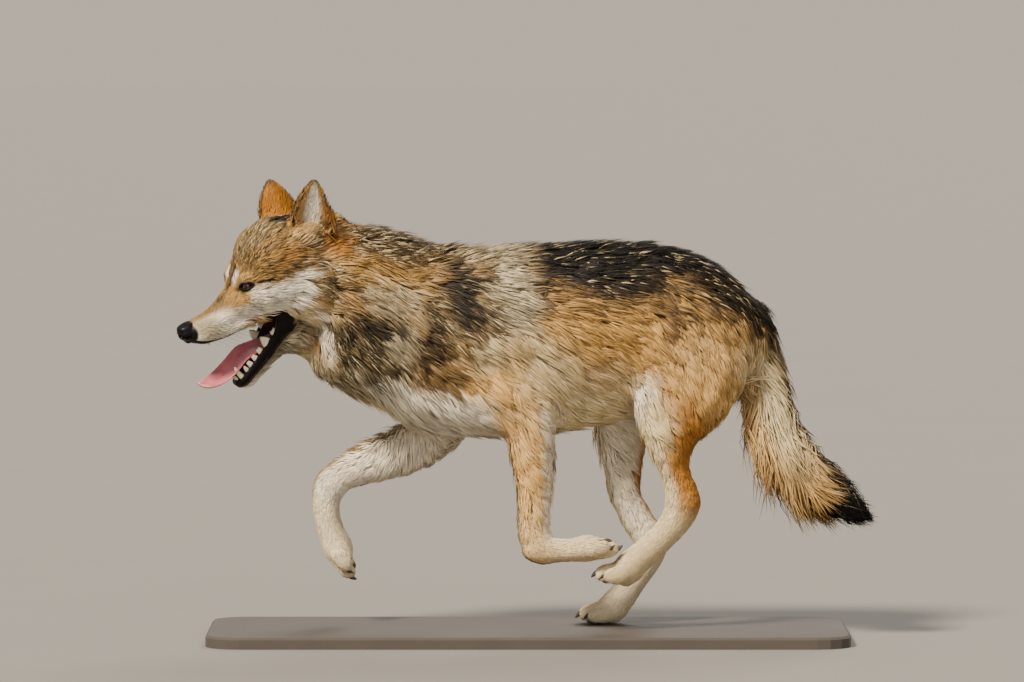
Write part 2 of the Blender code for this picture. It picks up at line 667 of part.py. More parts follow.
def make_head():
    place = head_matrix()
    swing = jaw_matrix()

    skull = [slabs("skull", SKULL, sides=28, power=2.15, crest=0.22)]
    skull.append(egg("throat", (0, 0.066, -0.138), (0.040, 0.052, 0.030)))
    for side in (1, -1):
        skull.append(egg("brow", (side * 0.026, 0.006, 0.014), (0.016, 0.020, 0.011)))
        skull.append(egg("cheekbone", (side * 0.050, 0.032, -0.022), (0.018, 0.040, 0.022)))
        skull.append(egg("ruff", (side * 0.064, 0.110, -0.050), (0.038, 0.050, 0.064)))
        skull.append(egg("ear root", (side * 0.050, 0.114, 0.030), (0.026, 0.036, 0.030)))
        skull.append(egg("lip", (side * 0.019, -0.088, -0.060), (0.011, 0.030, 0.014)))
    whole = fused("whole head", skull, 0.0035, 4)
    thinned(whole, HEAD_TRIANGLES)
    head = half(whole, "head", *NAPE_CUT)
    drop(whole)
    largest_body(head)
    palate = slabs("palate", (
        (-0.113, 0.0, -0.064, -0.090, 0.010),
        (-0.100, 0.0, -0.060, -0.095, 0.016),
        (-0.060, 0.0, -0.058, -0.095, 0.021),
        (-0.020, 0.0, -0.056, -0.100, 0.027),
        (0.020, 0.0, -0.058, -0.112, 0.033),
        (0.036, 0.0, -0.064, -0.114, 0.024),
    ), sides=12, steps=1)
    carved(head, palate)

    jaw = [slabs("jaw", LOWER_JAW, sides=20, power=2.3, keel=0.25)]
    lower_jaw = thinned(fused("lower_jaw", jaw, 0.0030, 3), JAW_TRIANGLES)
    trough = slabs("trough", (
        (-0.103, 0.0, -0.064, -0.082, 0.007),
        (-0.088, 0.0, -0.060, -0.086, 0.0115),
        (-0.045, 0.0, -0.054, -0.085, 0.0160),
        (0.000, 0.0, -0.046, -0.082, 0.0230),
        (0.050, 0.0, -0.030, -0.076, 0.0330),
    ), sides=10, steps=1)
    carved(lower_jaw, trough)
    upper = [t for side in (1, -1) for t in row_of_teeth(side, UPPER_TEETH, -1, -0.062)]
    lower = [t for side in (1, -1) for t in row_of_teeth(side, LOWER_TEETH, 1, -0.074)]
    carved(head, joined("upper teeth", upper), "UNION", solver="MANIFOLD")
    carved(lower_jaw, joined("lower teeth", lower), "UNION", solver="MANIFOLD")
    moved(lower_jaw, swing)

    tongue = make_tongue()

    nose = [egg("pad", (0, -0.130, -0.045), (0.0150, 0.0115, 0.0135)),
            egg("septum", (0, -0.126, -0.056), (0.0075, 0.0095, 0.0095)),
            egg("wing", (0.0095, -0.126, -0.046), (0.0080, 0.0140, 0.0110)),
            egg("wing", (-0.0095, -0.126, -0.046), (0.0080, 0.0140, 0.0110))]
    nose_pad = thinned(fused("nose_pad", nose, 0.0020, 2), NOSE_TRIANGLES)

    pieces = {"tongue": tongue, "nose_pad": nose_pad}
    for name, side in (("eye_left", 1), ("eye_right", -1)):
        out, back, up = EYE_AT
        radii = (EYE_RADIUS, EYE_RADIUS, EYE_RADIUS)
        pieces[name] = egg(name, (side * out, back, up), radii, rings=7, sides=10)
    for name in EARS:
        pieces[name] = make_ear(name)

    for name in ("eye_left", "eye_right", "nose_pad"):
        carved(head, grown(pieces[name], GAP))
    head_cutter = grown(head, GAP)
    carved(lower_jaw, head_cutter, keep_cutter=True)
    for name in EARS:
        carved(pieces[name], head_cutter, keep_cutter=True)
        largest_body(pieces[name])
    drop(head_cutter)
    carved(tongue, grown(head, GAP))
    carved(tongue, grown(lower_jaw, GAP))
    largest_body(tongue)
    largest_body(head)
    largest_body(lower_jaw)
    for obj in (head, lower_jaw, *pieces.values()):
        moved(obj, place)
        coat_with(obj, FLESH)
    coat_with(tongue, PINK)
    coat_with(nose_pad, DARK)
    coat_with(pieces["eye_left"], AMBER)
    coat_with(pieces["eye_right"], AMBER)
    return head, lower_jaw, pieces


# ------------------------------------------------------------------- base
def make_base():
    build = bmesh.new()
    corners = []
    for sx, sy, start in ((1, 1, 0), (-1, 1, 90), (-1, -1, 180), (1, -1, 270)):
        for i in range(5):
            angle = math.radians(start + 22.5 * i)
            x = sx * (BASE_WIDTH / 2 - BASE_CORNER) + BASE_CORNER * math.cos(angle)
            y = sy * (BASE_LENGTH / 2 - BASE_CORNER) + BASE_CORNER * math.sin(angle)
            corners.append(build.verts.new((x, y, 0)))
    face = build.faces.new(corners)
    solid = bmesh.ops.extrude_face_region(build, geom=[face])
    top = [v for v in solid["geom"] if isinstance(v, bmesh.types.BMVert)]
    bmesh.ops.translate(build, verts=top, vec=(0, 0, BASE_THICK))
    rim = [e for e in build.edges if all(v in top for v in e.verts)]
    bmesh.ops.bevel(build, geom=rim, offset=BASE_EDGE, segments=1, affect="EDGES", profile=0.5)
    base = new_object("stand_base", build)
    coat_with(base, PAINT)
    return base


# ------------------------------------------------------------ the whole wolf
for old in list(bpy.data.objects):
    bpy.data.objects.remove(old, do_unlink=True)

whole_body = make_trunk()
tail = limb("tail", TAIL, sides=10)
head, lower_jaw, face_pieces = make_head()

nape_at, nape_normal = NAPE_CUT
place = head_matrix()
nape_at = place @ Vector(nape_at)
nape_normal = place.to_3x3() @ Vector(nape_normal)
softened(thinned(whole_body, BODY_TRIANGLES), 1)
body = half(whole_body, "body", nape_at, -nape_normal)
drop(whole_body)
largest_body(body)

body_cutter = grown(body, 2 * GAP)
for leg_name, leg_spec in FEET.items():
    make_leg(leg_name, leg_spec, body_cutter)
carved(tail, body_cutter, keep_cutter=True, solver="MANIFOLD")
largest_body(tail)
coat_with(tail, FLESH)
drop(body_cutter)
for cutter in (lower_jaw, face_pieces["ear_left"], face_pieces["ear_right"]):
    carved(body, grown(cutter, GAP), solver="MANIFOLD")

neck, trunk = parted(body, "neck", "trunk", *NECK_CUT)
chest, loin = parted(trunk, "chest", "loin", *WAIST_CUT)
for node in (neck, chest, loin):
    largest_body(node)
    coat_with(node, FLESH)

make_base()
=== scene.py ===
"""The looks of a life-size running gray wolf on a plain flat base.

Metres, +Z up. The wolf faces -Y and its left side is +X.
"""

import itertools
import math

import bpy
import numpy as np
import openvdb
from mathutils import Matrix, Vector
from mathutils.kdtree import KDTree


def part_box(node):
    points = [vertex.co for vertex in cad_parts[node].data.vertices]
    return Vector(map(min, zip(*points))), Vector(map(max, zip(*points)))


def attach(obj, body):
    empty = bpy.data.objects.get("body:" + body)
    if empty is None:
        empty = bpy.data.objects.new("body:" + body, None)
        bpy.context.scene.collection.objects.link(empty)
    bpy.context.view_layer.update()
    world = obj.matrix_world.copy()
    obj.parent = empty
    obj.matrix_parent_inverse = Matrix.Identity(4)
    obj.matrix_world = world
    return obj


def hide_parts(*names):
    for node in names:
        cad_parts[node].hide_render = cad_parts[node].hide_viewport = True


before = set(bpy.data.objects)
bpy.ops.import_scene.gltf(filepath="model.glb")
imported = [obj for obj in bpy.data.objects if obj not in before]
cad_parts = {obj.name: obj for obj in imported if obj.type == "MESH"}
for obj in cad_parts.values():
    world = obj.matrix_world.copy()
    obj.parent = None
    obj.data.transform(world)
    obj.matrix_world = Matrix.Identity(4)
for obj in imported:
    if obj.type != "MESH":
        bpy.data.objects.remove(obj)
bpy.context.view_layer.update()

# ============================================================ head of the skin
# Thin short-haired skin over bone, with lips, lids and ears. It is sculpted apart
# from the body, at a finer grain, in its own axes: x to the wolf's left, y back
# and z up, from the point midway between the eyes.
HEAD_AT = Vector((0.060, -0.487, 0.623))
HEAD_TURN = (Matrix.Rotation(math.radians(20), 4, "Z") @ Matrix.Rotation(math.radians(23), 4, "X")
             @ Matrix.Rotation(math.radians(12), 4, "Y"))
HEAD = np.array(Matrix.Translation(HEAD_AT) @ HEAD_TURN)
JAW_HINGE = Matrix.Translation((0, 0.070, -0.050))
JAW = np.array(JAW_HINGE @ Matrix.Rotation(math.radians(30), 4, "X") @ JAW_HINGE.inverted())
HEAD_GRAIN = 0.0016
HEAD_BOX = ((-0.124, -0.158, -0.212), (0.124, 0.216, 0.150))
HEAD_REACH = 14.0                # how far from the surface distances are known, in grains

SKULL = (  # y, x, top, bottom, half width
    (-0.127, 0.0, -0.037, -0.064, 0.013),
    (-0.119, 0.0, -0.031, -0.069, 0.020),
    (-0.104, 0.0, -0.029, -0.073, 0.0235),
    (-0.083, 0.0, -0.027, -0.077, 0.0262),
    (-0.064, 0.0, -0.021, -0.078, 0.0280),
    (-0.048, 0.0, -0.013, -0.076, 0.0300),
    (-0.034, 0.0, -0.003, -0.074, 0.0335),
    (-0.020, 0.0, 0.011, -0.072, 0.0385),
    (-0.005, 0.0, 0.031, -0.071, 0.0465),
    (0.010, 0.0, 0.048, -0.071, 0.0550),
    (0.030, 0.0, 0.063, -0.075, 0.0640),
    (0.055, 0.0, 0.069, -0.094, 0.0710),
    (0.085, 0.0, 0.067, -0.116, 0.0770),
    (0.115, 0.0, 0.059, -0.124, 0.0780),
    (0.150, 0.0, 0.046, -0.120, 0.0740),
    (0.200, 0.0, 0.034, -0.105, 0.0660),
)
LOWER_JAW = (  # mouth closed; y, x, top, bottom, half width
    (-0.114, 0.0, -0.078, -0.090, 0.0085),
    (-0.106, 0.0, -0.075, -0.097, 0.0145),
    (-0.088, 0.0, -0.072, -0.103, 0.0185),
    (-0.060, 0.0, -0.068, -0.105, 0.0210),
    (-0.033, 0.0, -0.065, -0.105, 0.0250),
    (-0.005, 0.0, -0.061, -0.104, 0.0310),
    (0.020, 0.0, -0.057, -0.103, 0.0385),
    (0.045, 0.0, -0.051, -0.100, 0.0460),
    (0.068, 0.0, -0.046, -0.093, 0.0490),
)
PALATE = (  # the hollow of the mouth above the tongue
    (-0.116, 0.0, -0.064, -0.092, 0.009),
    (-0.104, 0.0, -0.060, -0.096, 0.0155),
    (-0.060, 0.0, -0.057, -0.098, 0.0205),
    (-0.020, 0.0, -0.055, -0.102, 0.0265),
    (0.020, 0.0, -0.057, -0.114, 0.0320),
    (0.040, 0.0, -0.066, -0.112, 0.0220),
)
TROUGH = (  # the hollow of the lower jaw that the tongue lies in
    (-0.103, 0.0, -0.064, -0.083, 0.0070),
    (-0.088, 0.0, -0.058, -0.087, 0.0115),
    (-0.045, 0.0, -0.052, -0.086, 0.0155),
    (0.000, 0.0, -0.044, -0.083, 0.0220),
    (0.050, 0.0, -0.030, -0.078, 0.0300),
)


def eased(rows, steps):
    """Extra rows on a Catmull-Rom curve through the given ones."""
    rows = np.asarray(rows, float)
    padded = np.vstack([rows[:1], rows, rows[-1:]])
    t = np.linspace(0, 1, steps, endpoint=False)[:, None, None]
    a, b, c, d = (padded[i:len(rows) - 1 + i] for i in range(4))
    curve = 0.5 * (2 * b + (c - a) * t + (2 * a - 5 * b + 4 * c - d) * t ** 2
                   + (3 * b - a - 3 * c + d) * t ** 3)
    return np.vstack([curve.transpose(1, 0, 2).reshape(-1, rows.shape[1]), rows[-1:]])


def halved(quads):
    """Two triangles for each face of four corners."""
    return np.vstack([quads[:, [0, 1, 2]], quads[:, [0, 2, 3]]])


def tube(rings):
    """Points and triangles of a closed tube through rings of points."""
    count, sides = rings.shape[:2]
    points = np.vstack([rings.reshape(-1, 3), rings[0].mean(0), rings[-1].mean(0)])
    i, k = np.meshgrid(np.arange(count - 1), np.arange(sides), indexing="ij")
    a, b = i * sides + k, i * sides + (k + 1) % sides
    quads = np.stack([a, b, b + sides, a + sides], -1).reshape(-1, 4)
    rim = np.arange(sides)
    near = np.stack([(rim + 1) % sides, rim, np.full(sides, count * sides)], -1)
    last = (count - 1) * sides
    far = np.stack([last + rim, last + (rim + 1) % sides, np.full(sides, count * sides + 1)], -1)
    return points, np.vstack([halved(quads), near, far])


def blunted(wave, power):
    """A sine or cosine that draws an oval above power 2 squarer than an ellipse."""
    return np.copysign(np.abs(wave) ** (2 / power), wave)


def slab(rows, power=2.2, keel=0.0, crest=0.0, sides=48, steps=6):
    """A tube along y from (y, x, top, bottom, half width) rows."""
    y, x, top, bottom, wide = eased(rows, steps).T[:, :, None]
    angle = np.linspace(0, 2 * math.pi, sides, endpoint=False)[None]
    up, out = blunted(np.sin(angle), power), blunted(np.cos(angle), power)
    pinch = 1 - crest * np.maximum(up, 0) ** 2 - keel * np.maximum(-up, 0) ** 2
    rings = np.stack([x + out * wide * pinch, y + 0 * up, (top + bottom) / 2
                      + up * (top - bottom) / 2], -1)
    return tube(rings)


def hose(path, sides=20, steps=6, across=(1, 0, 0)):
    """A round tube along (x, y, z, half depth, half width) rows, wide along across."""
    rows = eased(path, steps)
    way = np.gradient(rows[:, :3], axis=0)
    way /= np.linalg.norm(way, axis=1, keepdims=True)
    side = np.asarray(across, float) - way * (way @ np.asarray(across, float))[:, None]
    side /= np.linalg.norm(side, axis=1, keepdims=True)
    deep = np.cross(way, side)
    angle = np.linspace(0, 2 * math.pi, sides, endpoint=False)
    out, up = np.cos(angle)[None, :, None], np.sin(angle)[None, :, None]
    rings = (rows[:, None, :3] + side[:, None] * out * rows[:, None, 4:5]
             + deep[:, None] * up * rows[:, None, 3:4])
    return tube(rings)


def carried(matrix, points):
    """Points carried by a matrix."""
    return points @ matrix[:3, :3].T + matrix[:3, 3]


def moved(matrix, mesh):
    """Points and faces, with the points carried by a matrix."""
    points, faces = mesh
    return carried(matrix, points), faces


def cell_corners(within):
    """The eight corners of a cell, each with its share at a place within the cell."""
    for corner in itertools.product((0, 1), repeat=3):
        near = [np.abs(1 - far - within[:, axis]) for axis, far in enumerate(corner)]
        yield corner, near[0] * near[1] * near[2]


class Clay:
    """A block of space with the distance to a surface at each of its points."""

    def __init__(self, box, grain, reach):
        self.grain = grain
        self.reach = reach
        self.low = np.floor(np.array(box[0]) / grain).astype(int)
        self.shape = np.ceil(np.array(box[1]) / grain).astype(int) - self.low
        self.away = np.full(self.shape, reach * grain, np.float32)

    def axes(self, low=None, high=None):
        low = np.zeros(3, int) if low is None else low
        high = self.shape if high is None else high
        lines = [(np.arange(a, b) + c) * self.grain for a, b, c in zip(low, high, self.low)]
        return np.meshgrid(*(line.astype(np.float32) for line in lines), indexing="ij", sparse=True)

    def of(self, points, faces):
        """The distance to a closed mesh, negative inside it."""
        scale = openvdb.createLinearTransform(voxelSize=self.grain)
        level = openvdb.FloatGrid.createLevelSetFromPolygons(
            points.astype(np.float32), triangles=faces.astype(np.uint32),
            transform=scale, halfWidth=self.reach)
        away = np.empty(self.shape, np.float32)
        level.copyToArray(away, ijk=tuple(int(v) for v in self.low))
        return away

    def add(self, other, blend=0.0):
        self.away = self.merged(self.away, other, blend)

    def cut(self, other, blend=0.0):
        self.away = -self.merged(-self.away, other, blend)

    @staticmethod
    def merged(a, b, blend):
        if blend <= 0:
            return np.minimum(a, b)
        near = np.maximum(blend - np.abs(a - b), 0) / blend
        return np.minimum(a, b) - near * near * (blend / 4)

    def egg(self, centre, radii, turn=None, blend=0.006, cut=False, both=False):
        """Adds or cuts an ellipsoid; both also does its mirror image in x."""
        for side in (1, -1) if both else (1,):
            middle = np.array(centre, float) * (side, 1, 1)
            wide = max(radii) + 2 * blend + 2 * self.grain
            low = np.clip(np.floor((middle - wide) / self.grain).astype(int) - self.low, 0, self.shape)
            high = np.clip(np.ceil((middle + wide) / self.grain).astype(int) - self.low, 0, self.shape)
            x, y, z = (axis - m for axis, m in zip(self.axes(low, high), middle))
            x = x * side
            if turn is not None:
                m = np.array(turn)[:3, :3].T
                x, y, z = (r[0] * x + r[1] * y + r[2] * z for r in m)
            a, b, c = radii
            near = np.sqrt((x / a) ** 2 + (y / b) ** 2 + (z / c) ** 2) + 1e-6
            steep = np.sqrt((x / a ** 2) ** 2 + (y / b ** 2) ** 2 + (z / c ** 2) ** 2) + 1e-6
            away = near * (near - 1) / steep
            part = tuple(slice(i, j) for i, j in zip(low, high))
            sign = -1 if cut else 1
            self.away[part] = sign * self.merged(sign * self.away[part], away, blend)

    def sample(self, values, points):
        """A field of this block read off at points, by trilinear steps."""
        at = np.clip(points / self.grain - self.low, 0, np.array(self.shape) - 1.001)
        cell = at.astype(int)
        result = 0
        for corner, share in cell_corners(at - cell):
            x, y, z = (cell + corner).T
            result = result + share * values[x, y, z]
        return result

    def surface(self, away):
        """Points, triangles and quads of the surface where a distance is zero."""
        level = openvdb.FloatGrid(self.reach * self.grain)
        level.copyFromArray(np.ascontiguousarray(away, np.float32),
                            ijk=tuple(int(v) for v in self.low))
        points, triangles, quads = level.convertToPolygons(0.0, 0.0)
        return points * self.grain, triangles, quads


def new_mesh(name, points, triangles, quads=None):
    """A mesh object from arrays of points and faces."""
    quads = np.zeros((0, 4), int) if quads is None else quads
    mesh = bpy.data.meshes.new(name)
    loops = np.concatenate([np.asarray(triangles, np.int32).ravel(),
                            np.asarray(quads, np.int32).ravel()])
    mesh.vertices.add(len(points))
    mesh.vertices.foreach_set("co", np.asarray(points, np.float32).ravel())
    mesh.loops.add(len(loops))
    mesh.loops.foreach_set("vertex_index", loops)
    starts = np.concatenate([np.arange(len(triangles)) * 3,
                             len(triangles) * 3 + np.arange(len(quads)) * 4])
    mesh.polygons.add(len(starts))
    mesh.polygons.foreach_set("loop_start", starts.astype(np.int32))
    mesh.update(calc_edges=True)
    mesh.validate()
    obj = bpy.data.objects.new(name, mesh)
    bpy.context.scene.collection.objects.link(obj)
    mesh.polygons.foreach_set("use_smooth", np.ones(len(mesh.polygons), bool))
    return obj


head = Clay(HEAD_BOX, HEAD_GRAIN, HEAD_REACH)
head.add(head.of(*slab(SKULL, power=2.15, crest=0.22)))
# bony and fleshy masses: sideways, back, up; half sizes; how softly they blend
for centre, radii, blend in (
        ((0.0225, 0.004, 0.0125), (0.0150, 0.0190, 0.0100), 0.008),     # brow ridge
        ((0.047, 0.030, -0.020), (0.0170, 0.0400, 0.0200), 0.014),      # cheekbone
        ((0.030, -0.018, -0.030), (0.0110, 0.0240, 0.0130), 0.012),     # in front of the eye
        ((0.056, 0.110, -0.050), (0.0330, 0.0500, 0.0600), 0.020),      # ruff of the cheek
        ((0.038, 0.060, 0.028), (0.0300, 0.0400, 0.0320), 0.018),       # temple
        ((0.048, 0.114, 0.028), (0.0230, 0.0340, 0.0260), 0.014),       # ear root
        ((0.0170, -0.092, -0.0600), (0.0105, 0.0270, 0.0130), 0.008),   # upper lip
        ((0.0215, -0.060, -0.0655), (0.0085, 0.0300, 0.0095), 0.007),
        ((0.0265, -0.022, -0.0640), (0.0085, 0.0280, 0.0090), 0.008),
        ((0.0360, 0.020, -0.0610), (0.0090, 0.0260, 0.0110), 0.010)):
    head.egg(centre, radii, blend=blend, both=True)
head.egg((0, 0.066, -0.130), (0.036, 0.048, 0.024), blend=0.020)                # throat
head.egg((0, 0.012, 0.072), (0.0060, 0.040, 0.0110), blend=0.020, cut=True)     # furrow of the brow
head.egg((0, -0.040, -0.002), (0.0050, 0.022, 0.0040), blend=0.012, cut=True)   # dish of the stop

jaw = Clay(HEAD_BOX, HEAD_GRAIN, HEAD_REACH)
jaw.add(jaw.of(*moved(JAW, slab(LOWER_JAW, power=2.3, keel=0.25))))
LIP_BAND = (  # the lower lip stands along the outer edge of the jaw: x, y, z, depth, width
    (0.0040, -0.1125, -0.0835, 0.0055, 0.0042),
    (0.0140, -0.1065, -0.0835, 0.0060, 0.0042),
    (0.0195, -0.0880, -0.0825, 0.0068, 0.0042),
    (0.0225, -0.0600, -0.0805, 0.0078, 0.0042),
    (0.0270, -0.0330, -0.0780, 0.0088, 0.0042),
    (0.0325, -0.0050, -0.0740, 0.0098, 0.0044),
    (0.0385, 0.0200, -0.0680, 0.0108, 0.0048),
    (0.0435, 0.0450, -0.0610, 0.0105, 0.0054),
)
lip_line = np.minimum(*(jaw.of(*moved(JAW, hose(np.array(LIP_BAND) * (side, 1, 1, 1, 1))))
                        for side in (1, -1)))
jaw.add(lip_line, 0.004)
CHIN = carried(JAW, np.array([0, -0.098, -0.094]))
jaw.egg(CHIN, (0.0115, 0.0150, 0.0080), blend=0.008)
trough = jaw.of(*moved(JAW, slab(TROUGH, sides=32)))
jaw.cut(trough, 0.003)
palate = head.of(*slab(PALATE, sides=32))
head.cut(palate, 0.003)
head.add(jaw.away, 0.010)
# the black web of skin that joins the lips at the corner of the mouth
for y, z, out, tall in ((0.030, -0.092, 0.0350, 0.014), (0.044, -0.090, 0.0385, 0.016)):
    head.egg((out, y, z), (0.0035, 0.0110, tall), blend=0.010, both=True)

# ---- eye sockets and lids. The eye looks outward and forward from its socket.
EYE_AT, EYE_RADIUS = (0.0325, -0.0050, 0.0000), 0.0125
GAZE = Vector((0.76, -0.62, 0.14)).normalized()
LID_LINE = Vector((0.62, 0.78, 0.02))
LID_LINE = (LID_LINE - GAZE * LID_LINE.dot(GAZE)).normalized()
LID_UP = GAZE.cross(LID_LINE)
SLIT_LENGTH, SLIT_HEIGHT = 0.0295, 0.0118
LID_OFF, LID_HALF = 0.0018, 0.0016           # a lid's middle off the eye; half its thickness
RIM_OFF, RIM_HALF, RIM_WIDE = 0.0026, 0.0022, 0.0013    # the same for its edge; half its width
EYE_GAP = 0.0002                 # between the eyeball and its socket
slits = []
for side in (1, -1):
    x, y, z = head.axes()
    x, y, z = x * side - EYE_AT[0], y - EYE_AT[1], z - EYE_AT[2]
    ahead, along, up = (x * v.x + y * v.y + z * v.z for v in (GAZE, LID_LINE, LID_UP))
    radius = np.sqrt(x * x + y * y + z * z)
    lids = np.maximum(np.abs(radius - (EYE_RADIUS + LID_OFF)) - LID_HALF, -(ahead - 0.002))
    # the upper lid arches more, and the inner corner droops to a point
    rise = 1 - np.clip(np.abs(along) / (SLIT_LENGTH / 2), 0, 1.2) ** 2
    middle = 0.0010 - 0.0016 * (along / (SLIT_LENGTH / 2) - 0.1) ** 2
    opening = np.maximum(np.abs(up - middle) - SLIT_HEIGHT / 2 * rise, -(ahead - 0.004))
    slits.append(opening)
    ball = radius - (EYE_RADIUS + EYE_GAP)
    rim = np.maximum(np.abs(opening) - RIM_WIDE, np.abs(radius - (EYE_RADIUS + RIM_OFF)) - RIM_HALF)
    head.add(lids, 0.004)
    head.cut(np.maximum(opening, radius - EYE_RADIUS - 0.012), 0.0015)
    head.add(np.maximum(rim, -(ahead - 0.004)), 0.0015)
    head.cut(ball)
    head.away = np.maximum(head.away, -ball)
slit_near = np.minimum(*slits)


def softly(values, times):
    """Neighbours averaged along each axis, to melt facets away."""
    for _ in range(times):
        for axis in range(3):
            values = np.moveaxis(values, axis, 0)
            inner = (values[:-2] + 2 * values[1:-1] + values[2:]) / 4
            values = np.concatenate([values[:1], inner, values[-1:]])
            values = np.moveaxis(values, 0, axis)
    return values


# ---- ears: each is a leaf of gristle, cupped, its edges rolled forwards
EARS = {  # side: root, tip, and how far outwards the hollow is turned from straight ahead
    1: (Vector((0.056, 0.118, 0.034)), Vector((0.064, 0.157, 0.132)), math.radians(68)),
    -1: (Vector((-0.054, 0.106, 0.034)), Vector((-0.063, 0.117, 0.120)), math.radians(76)),
}
EAR_LEAF = (  # how far up, half width, thickness, cup
    (-0.16, 0.0270, 0.0110, 0.56),
    (0.05, 0.0330, 0.0085, 0.56),
    (0.20, 0.0345, 0.0070, 0.52),
    (0.38, 0.0335, 0.0060, 0.46),
    (0.56, 0.0295, 0.0058, 0.42),
    (0.72, 0.0235, 0.0056, 0.38),
    (0.86, 0.0150, 0.0054, 0.32),
    (0.95, 0.0080, 0.0050, 0.25),
    (1.00, 0.0035, 0.0045, 0.20),
)
EAR_ROLL = 0.10                  # how far the outer fifth of each side rolls forward, in half widths
ear_axes = {}
for side, (root, tip, turn) in EARS.items():
    axis = (tip - root).normalized()
    looks = Vector((side * math.sin(turn), -math.cos(turn), 0))
    looks = (looks - axis * looks.dot(axis)).normalized()
    across = axis.cross(looks)
    ear_axes[side] = (root, tip, axis, looks, across)
    t = np.linspace(-1, 1, 19)
    rings = []
    for height, wide, thick, cup in eased(EAR_LEAF, 6):
        flat = np.array(root.lerp(tip, height)) + np.outer(wide * t, across)
        hollow = cup * wide * (1 - t * t)
        roll = EAR_ROLL * wide * np.clip(np.abs(t) - 0.8, 0, 1) / 0.2
        front = flat - np.outer(hollow - roll, looks)
        back = flat - np.outer(hollow - roll + thick * (0.85 + 0.15 * (1 - t * t)), looks)
        rings.append(np.vstack([front, back[::-1]]))
    head.add(head.of(*tube(np.array(rings))), 0.0055)
head.away = softly(head.away, 1)
head.egg((0, -0.1260, -0.0680), (0.0008, 0.0090, 0.0100), blend=0.0030, cut=True)   # cleft of the lip

# how near each place is to the mouth's hollow and to the seat of the nose pad,
# where the skin is bare
mouth_near = np.minimum(palate, trough)
SEAT_AT, SEAT_SIZE, SEAT_REACH = (0, -0.1270, -0.0480), (0.0265, 0.0190, 0.0170), 0.015
nose_near = np.sqrt(sum(((axis - middle) / half) ** 2 for axis, middle, half
                        in zip(head.axes(), SEAT_AT, SEAT_SIZE))) * SEAT_REACH - SEAT_REACH

# ================================================================ coat's lie
# How the coat grows at named places: where each is, which way the hair lies,
# how long it is, how far its tips stand off the skin, and over what reach the
# place counts. Everything between is blended from these.
LEGS = {  # side; how far out; x from there, y and z of the leg's middle, from the top to the toes
    "foreleg_left": (1, 0.078, (
        (0.000, -0.030, 0.455), (0.003, 0.004, 0.360), (0.000, 0.009, 0.275), (-0.004, 0.010, 0.200),
        (-0.005, 0.018, 0.163), (-0.004, 0.050, 0.158), (-0.003, 0.078, 0.159), (-0.002, 0.122, 0.165))),
    "foreleg_right": (-1, 0.078, (
        (0.000, -0.120, 0.430), (0.003, -0.182, 0.338), (0.000, -0.258, 0.305), (-0.003, -0.322, 0.277),
        (-0.004, -0.347, 0.252), (-0.004, -0.350, 0.225), (-0.003, -0.340, 0.176), (-0.002, -0.318, 0.130))),
    "hindleg_left": (1, 0.068, (
        (-0.012, 0.285, 0.600), (-0.002, 0.276, 0.490), (0.004, 0.252, 0.398), (0.002, 0.244, 0.328),
        (-0.001, 0.264, 0.255), (-0.002, 0.256, 0.212), (-0.002, 0.208, 0.160), (0.000, 0.148, 0.116))),
    "hindleg_right": (-1, 0.068, (
        (-0.012, 0.255, 0.600), (-0.002, 0.232, 0.490), (0.004, 0.182, 0.398), (0.002, 0.160, 0.325),
        (-0.001, 0.167, 0.245), (-0.002, 0.214, 0.160), (-0.002, 0.181, 0.092), (0.000, 0.122, 0.0365))),
}
TAIL = (  # x, y, z, from the root to the tip, and its outline's radius
    (0.000, 0.360, 0.570, 0.045), (0.002, 0.398, 0.480, 0.047), (0.008, 0.425, 0.370, 0.056),
    (0.011, 0.452, 0.318, 0.058), (0.014, 0.492, 0.274, 0.052), (0.016, 0.532, 0.242, 0.038),
    (0.018, 0.568, 0.219, 0.022), (0.019, 0.600, 0.204, 0.003))
